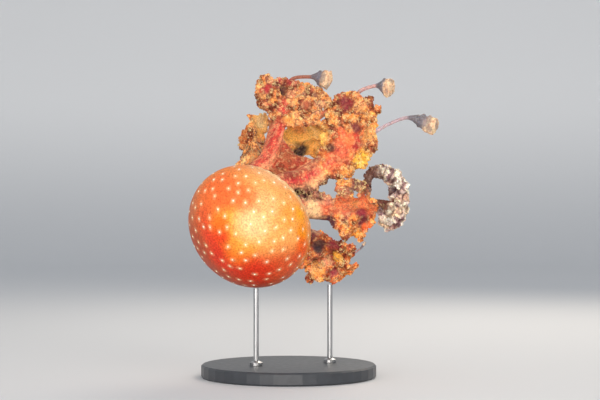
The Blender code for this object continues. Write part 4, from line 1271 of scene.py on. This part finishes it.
def jellyFinish(name, look):
    made, tree, place = shaderTree(name)
    attribute, noiseKind = "ShaderNodeAttribute", "ShaderNodeTexNoise"
    tone = addNode(tree, attribute, attribute_name="tone").outputs["Color"]
    mottled = addNode(tree, attribute, attribute_name="mottle").outputs["Fac"]
    rim = addNode(tree, attribute, attribute_name="rim").outputs["Fac"]
    grain = addNode(tree, noiseKind, {
        "Vector": place, "Scale": 1 / (look["grain"] * mm), "Detail": 3.0,
    }).outputs[0]
    blotch = addNode(tree, noiseKind, {
        "Vector": place, "Scale": 1 / (look["blotch"] * mm), "Detail": 2.0,
    }).outputs[0]
    patchy = addNode(tree, noiseKind, {
        "Vector": place, "Scale": 1 / (look["blotch"] * 0.8 * mm), "Detail": 2.0, "W": 3.7,
    }, noise_dimensions="4D").outputs[0]
    dark = addNode(tree, "ShaderNodeMapRange", {
        0: blotch, 1: 0.52, 2: 0.64, 3: 0.0, 4: look["bruised"],
    }, interpolation_type="SMOOTHSTEP").outputs[0]
    dark = addNode(tree, "ShaderNodeMath", {0: dark, 1: mottled}, operation="MULTIPLY").outputs[0]
    light = addNode(tree, "ShaderNodeMapRange", {
        0: patchy, 1: 0.48, 2: 0.62, 3: 0.0, 4: look["brightened"],
    }, interpolation_type="SMOOTHSTEP").outputs[0]
    light = addNode(tree, "ShaderNodeMath", {0: light, 1: mottled}, operation="MULTIPLY").outputs[0]
    mix = "ShaderNodeMix"
    bruised = addNode(tree, mix, {0: dark, 6: tone, 7: colour(look["bruise"])}, data_type="RGBA").outputs[2]
    lit = addNode(tree, mix, {0: light, 6: bruised, 7: colour(look["bright"])}, data_type="RGBA").outputs[2]
    speck = addNode(tree, "ShaderNodeMapRange", {
        0: grain, 1: 0.3, 2: 0.7, 3: 1 - look["grainDepth"], 4: 1 + look["grainDepth"] * 0.6,
    }).outputs[0]
    low, high = look["shade"]
    shade = addNode(tree, "ShaderNodeMapRange", {0: rim, 1: 0.0, 2: 1.0, 3: low, 4: high}).outputs[0]
    shade = addNode(tree, "ShaderNodeMath", {0: speck, 1: shade}, operation="MULTIPLY").outputs[0]
    final = addNode(tree, "ShaderNodeVectorMath", {0: lit, "Scale": shade}, operation="SCALE").outputs[0]
    low, high = look["roughness"]
    rough = addNode(tree, "ShaderNodeMapRange", {0: grain, 1: 0.3, 2: 0.7, 3: low, 4: high}).outputs[0]
    relief = addNode(tree, "ShaderNodeBump", {
        "Height": grain, "Strength": look["relief"], "Distance": 0.4 * mm,
    }).outputs[0]
    shader = addNode(tree, "ShaderNodeBsdfPrincipled", {
        "Base Color": final, "Roughness": rough, "Normal": relief, "IOR": 1.37, "Specular IOR Level": 0.2,
        "Subsurface Weight": look["soft"], "Subsurface Radius": (1.0, 0.4, 0.2), "Subsurface Scale": 2.5 * mm,
    })
    addNode(tree, "ShaderNodeOutputMaterial", {0: shader.outputs[0]})
    return made


smoothJelly = jellyFinish("mesogleaSmooth", jellyLooks["skin"])
frillJelly = jellyFinish("mouthFrillCrumpled", jellyLooks["frill"])
spotJelly = jellyFinish("bellSpotGranular", jellyLooks["spot"])

print("spots on the bell")
bedPoints = pointsOf(bellBedMesh)
bedLevel = unit(bedPoints / bellSize)
latitude, azimuth = np.arcsin(bedLevel[:, 2]), np.arctan2(bedLevel[:, 1], bedLevel[:, 0])
fromPole = (math.pi / 2 - latitude) / math.radians(126)
count = len(bedPoints)
for label, values in dict(
    amount=np.ones(count), lie=np.zeros((count, 3)), size=np.where(latitude < math.radians(-22), 0.75, 1.0),
    tone=np.tile(linear("fff8ea"), (count, 1)), mottle=np.zeros(count),
    unwrapU=0.5 + 0.5 * fromPole * np.cos(azimuth), unwrapV=0.5 + 0.5 * fromPole * np.sin(azimuth),
).items():
    setAttribute(bellBedMesh, label, values)
bellBedMesh.transform(Matrix.Scale(mm, 4) @ stanceMatrix())
spotMesh = makeSpot()
bellSpots = scatter(
    "bellSpots", newObject("bellBed", bellBedMesh), shapeSet("spotShape", [spotMesh]), spotJelly,
    spotShape["spacing"], spotShape["smallest"], spotShape["largest"], 0.0, spotShape["seed"])
spotCentres = toAnimal(pointsOf(bellSpots.data).reshape(-1, len(spotMesh.vertices), 3).mean(1))
print("spots", len(spotCentres))
_, halo = nearest(spotCentres, skinPoints)
glow = 0.8 * np.exp(-(halo / spotShape["halo"]) ** 2) * isOuter
tone = tone + (linear("ffe6ae") - tone) * glow[:, None]
setAttribute(skinMesh, "tone", tone)
setAttribute(skinMesh, "mottle", onArm * field["mottle"])

skinMesh.shade_smooth()
jellySkin = newObject("jellySkin", skinMesh, smoothJelly)
corners = np.empty(len(skinMesh.loops), np.int64)
skinMesh.loops.foreach_get("vertex_index", corners)
facePoints = [tuple(face.vertices) for face in skinMesh.polygons]

# How thickly each part of the coat grows: distances in mm, and how far the tufts lean out.
coat = dict(
    near=dict(spacing=1.1, smallest=0.45, largest=1.0, lean=0.5),
    far=dict(spacing=1.6, smallest=0.6, largest=1.05, lean=0.4),
    fringe=dict(spacing=1.2, smallest=0.4, largest=1.15, lean=0.0),
    club=dict(spacing=1.1, smallest=0.5, largest=0.9, lean=0.0),
)


def bedOf(name, mask, values):
    faces = [face for face in facePoints if all(mask[v] for v in face)]
    used = sorted({v for face in faces for v in face})
    renumber = {v: i for i, v in enumerate(used)}
    mesh = meshOf(name, toWorld(skinPoints[used]), [tuple(renumber[v] for v in face) for face in faces])
    for label, data in values.items():
        setAttribute(mesh, label, data[used])
    return newObject(name, mesh)


print("frills")
grains = [makeGrain(seed) for seed in range(6)]
mouths = [makeMouth(seed) for seed in range(3)]
frillShapes, grainShapes = shapeSet("frillShape", grains + mouths), shapeSet("grainShape", grains[:5])
centres = np.zeros_like(skinPoints)
for arm in mouthArms:
    here = field["owner"] == arm.number
    step = np.clip(np.searchsorted(arm.shares, field["share"][here]), 0, len(arm.shares) - 1)
    centres[here] = arm.frames[0][step]
outward = unit(skinPoints - centres) @ toStand[:3, :3].T
raised = 0.25 + 0.75 * smooth(0.05, 0.35, field["floret"])
edgeward = smooth(0.3, 0.9, field["radius"] / np.maximum(field["reach"], 4.0))
frillPieces = []
for arm in mouthArms:
    own = (field["owner"] == arm.number) & onArm & (frill > 0.05)
    frillPieces.append(scatter(
        f"armFrill{arm.number}",
        bedOf("frillBed", own, dict(
            amount=frill * raised, lie=outward,
            size=(0.8 + 0.35 * edgeward) * (1 - 0.35 * field["trim"]), tone=tone, mottle=frill,
            unwrapU=np.clip(0.04 + 0.92 * field["share"], 0, 1), unwrapV=(field["around"] + 180) / 360,
        )),
        frillShapes, frillJelly, seed=30 + arm.number, **coat["near" if arm.number < 5 else "far"]))
still = np.zeros((len(skinPoints), 3))
side = unit(skinPoints - mouthArms[2].place(85, -28, 95))
frillPieces.append(scatter(
    "fringeFrill",
    bedOf("creamBed", (field["owner"] == 0) & onArm & (frill > 0.05), dict(
        amount=frill * raised, lie=still, size=np.ones(len(frill)), tone=tone, mottle=0 * frill,
        unwrapU=field["share"], unwrapV=np.arctan2(side[:, 0], side[:, 1]) / math.tau + 0.5,
    )),
    grainShapes, frillJelly, seed=57, **coat["fringe"]))
away = unit(skinPoints - threadPlaces[index, :3])
frillPieces.append(scatter(
    "clubFrill",
    bedOf("clubBed", isThread & (clubRadius > 3) & (club > 0.3), dict(
        amount=club, lie=still, size=np.ones(len(club)), tone=tone, mottle=0 * frill,
        unwrapU=(threadOwner + threadShare) / 6.2,
        unwrapV=np.arctan2(away[:, 1], away[:, 2]) / math.tau + 0.5,
    )),
    grainShapes, frillJelly, seed=58, **coat["club"]))
skinMesh.transform(Matrix.Scale(mm, 4) @ stanceMatrix())

print("the stand")


def lacquerFinish():
    made, tree, place = shaderTree("satinLacquerOnTurnedWood")
    grain = addNode(tree, "ShaderNodeTexNoise", {
        "Vector": place, "Scale": 1 / (6 * mm), "Detail": 4.0,
    }).outputs[0]
    rings = addNode(tree, "ShaderNodeTexWave", {
        "Vector": place, "Scale": 1 / (14 * mm), "Distortion": 1.5,
    }, wave_type="RINGS", rings_direction="Z").outputs["Fac"]
    # Satin lacquer: a charcoal that turned wood barely shows through, with a soft sheen along its rings.
    tone = addNode(tree, "ShaderNodeMix", {
        0: grain, 6: colour("2b2e33"), 7: colour("3a3e44"),
    }, data_type="RGBA").outputs[2]
    rough = addNode(tree, "ShaderNodeMapRange", {0: grain, 3: 0.3, 4: 0.46}).outputs[0]
    relief = addNode(tree, "ShaderNodeBump", {
        "Height": rings, "Strength": 0.12, "Distance": 0.2 * mm,
    }).outputs[0]
    shader = addNode(tree, "ShaderNodeBsdfPrincipled", {
        "Base Color": tone, "Roughness": rough, "Normal": relief,
    })
    addNode(tree, "ShaderNodeOutputMaterial", {0: shader.outputs[0]})
    return made


def steelFinish():
    made, tree, place = shaderTree("brushedStainlessSteel")
    drawn = addNode(tree, "ShaderNodeMapping", {"Vector": place, "Scale": (1, 1, 0.03)}).outputs[0]
    lines = addNode(tree, "ShaderNodeTexNoise", {
        "Vector": drawn, "Scale": 1 / (0.5 * mm), "Detail": 2.0,
    }).outputs[0]
    # Brushed steel: fine lines down the rod break its highlight into a soft streak.
    tone = addNode(tree, "ShaderNodeMix", {
        0: lines, 6: colour("9a9c9e"), 7: colour("c9cacb"),
    }, data_type="RGBA").outputs[2]
    rough = addNode(tree, "ShaderNodeMapRange", {0: lines, 3: 0.22, 4: 0.4}).outputs[0]
    shader = addNode(tree, "ShaderNodeBsdfPrincipled", {
        "Base Color": tone, "Roughness": rough, "Metallic": 1.0,
    })
    addNode(tree, "ShaderNodeOutputMaterial", {0: shader.outputs[0]})
    return made


lacquer, steel = lacquerFinish(), steelFinish()
for name, material in (("stand_base", lacquer), ("stand_rod_bell", steel), ("stand_rod_arm", steel)):
    node = frame["nodes"][name]
    node.data.materials.clear()
    node.data.materials.append(material)

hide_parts(*[name for name in frame["nodes"] if not name.startswith("stand_")])
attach(jellySkin, "root")
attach(bellSpots, "root")
for piece in frillPieces:
    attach(piece, "root")

# A round studio: the floor runs up into a wall all round, out of every view.
stage = dict(radius=2.6, bend=0.8, height=1.05, steps=96, bendRings=16, floor="d0d3d7", wall="fafbfc")


def makeStage():
    steps, bendRings = stage["steps"], stage["bendRings"]
    profile = [(r, 0.0) for r in np.linspace(0.1, stage["radius"], 8)]
    for i in range(1, bendRings + 1):
        a = math.pi / 2 * i / bendRings
        profile.append((stage["radius"] + stage["bend"] * math.sin(a), stage["bend"] * (1 - math.cos(a))))
    profile.append((stage["radius"] + stage["bend"], stage["height"]))
    turns = np.arange(steps) * math.tau / steps
    points = [(r * math.cos(a), r * math.sin(a), z - 0.0002) for r, z in profile for a in turns]
    faces = [face[::-1] for face in loftFaces(len(profile), steps)]
    points.append((0, 0, -0.0002))
    faces += [(k, (k + 1) % steps, len(points) - 1) for k in range(steps)]
    mesh = meshOf("studioFloor", points, faces)
    mesh.shade_smooth()
    made, tree, place = shaderTree("matteStudioPaper")
    # Seamless paper: no shine and the faintest cloudiness from its fibres, with the wall painted paler than
    # the floor as painted light on it.
    fibre = addNode(tree, "ShaderNodeTexNoise", {
        "Vector": place, "Scale": 1 / (4 * mm), "Detail": 2.0,
    }).outputs[0]
    high = addNode(tree, "ShaderNodeSeparateXYZ", {0: place}).outputs[2]
    high = addNode(tree, "ShaderNodeMapRange", {
        0: high, 1: 0.0, 2: 0.5,
    }, interpolation_type="SMOOTHSTEP").outputs[0]
    tone = addNode(tree, "ShaderNodeMix", {
        0: high, 6: colour(stage["floor"]), 7: colour(stage["wall"]),
    }, data_type="RGBA").outputs[2]
    cloud = addNode(tree, "ShaderNodeMapRange", {0: fibre, 3: 0.99, 4: 1.01}).outputs[0]
    tone = addNode(tree, "ShaderNodeVectorMath", {0: tone, "Scale": cloud}, operation="SCALE").outputs[0]
    shader = addNode(tree, "ShaderNodeBsdfPrincipled", {"Base Color": tone, "Roughness": 0.9})
    addNode(tree, "ShaderNodeOutputMaterial", {0: shader.outputs[0]})
    return newObject("studioFloor", mesh, made)


makeStage()


# Softboxes: metres, watts and degrees. The two low ones in front have a grid, which keeps them off the floor.
studioLights = dict(
    keyLight=dict(place=(0.7, -1.3, 0.85), size=0.9, power=7, tint="fff4e6", spread=180),
    fillLight=dict(place=(-0.7, -1.3, 0.18), size=0.7, power=1.25, tint="fff8f2", spread=70),
    frontLight=dict(place=(0.0, -1.9, 0.42), size=0.5, power=3.7, tint="fff8f0", spread=70),
    backLight=dict(place=(0.4, 0.8, 0.9), size=0.7, power=7, tint="fff0dc", spread=180),
)
studioAir = dict(tint="f1f3f6", strength=0.62)


def areaLight(name, target, place, size, power, tint, spread):
    light = bpy.data.lights.new(name, "AREA")
    light.shape, light.size, light.energy = "SQUARE", size, power
    light.color = linear(tint)
    light.spread = math.radians(spread)
    made = bpy.data.objects.new(name, light)
    bpy.context.scene.collection.objects.link(made)
    made.location = place
    made.rotation_euler = (Vector(target) - Vector(place)).to_track_quat("-Z", "Y").to_euler()


middle = Vector(stance["bellCentre"]) * mm
for name, softbox in studioLights.items():
    areaLight(name, middle, **softbox)
world = bpy.data.worlds.new("studioAir")
world.use_nodes = True
background = world.node_tree.nodes["Background"]
background.inputs[0].default_value = colour(studioAir["tint"])
background.inputs[1].default_value = studioAir["strength"]
bpy.context.scene.world = world

cameraShape = dict(aside=46.6, above=24.5, away=1500.0, lens=97.5)
lens = bpy.data.cameras.new("camera")
lens.lens = cameraShape["lens"]
lens.clip_start = 0.05
camera = bpy.data.objects.new("camera", lens)
bpy.context.scene.collection.objects.link(camera)
camera.location = middle + Vector((cameraShape["aside"], -cameraShape["away"], cameraShape["above"])) * mm
camera.rotation_euler = (math.pi / 2, 0, 0)
bpy.context.scene.camera = camera
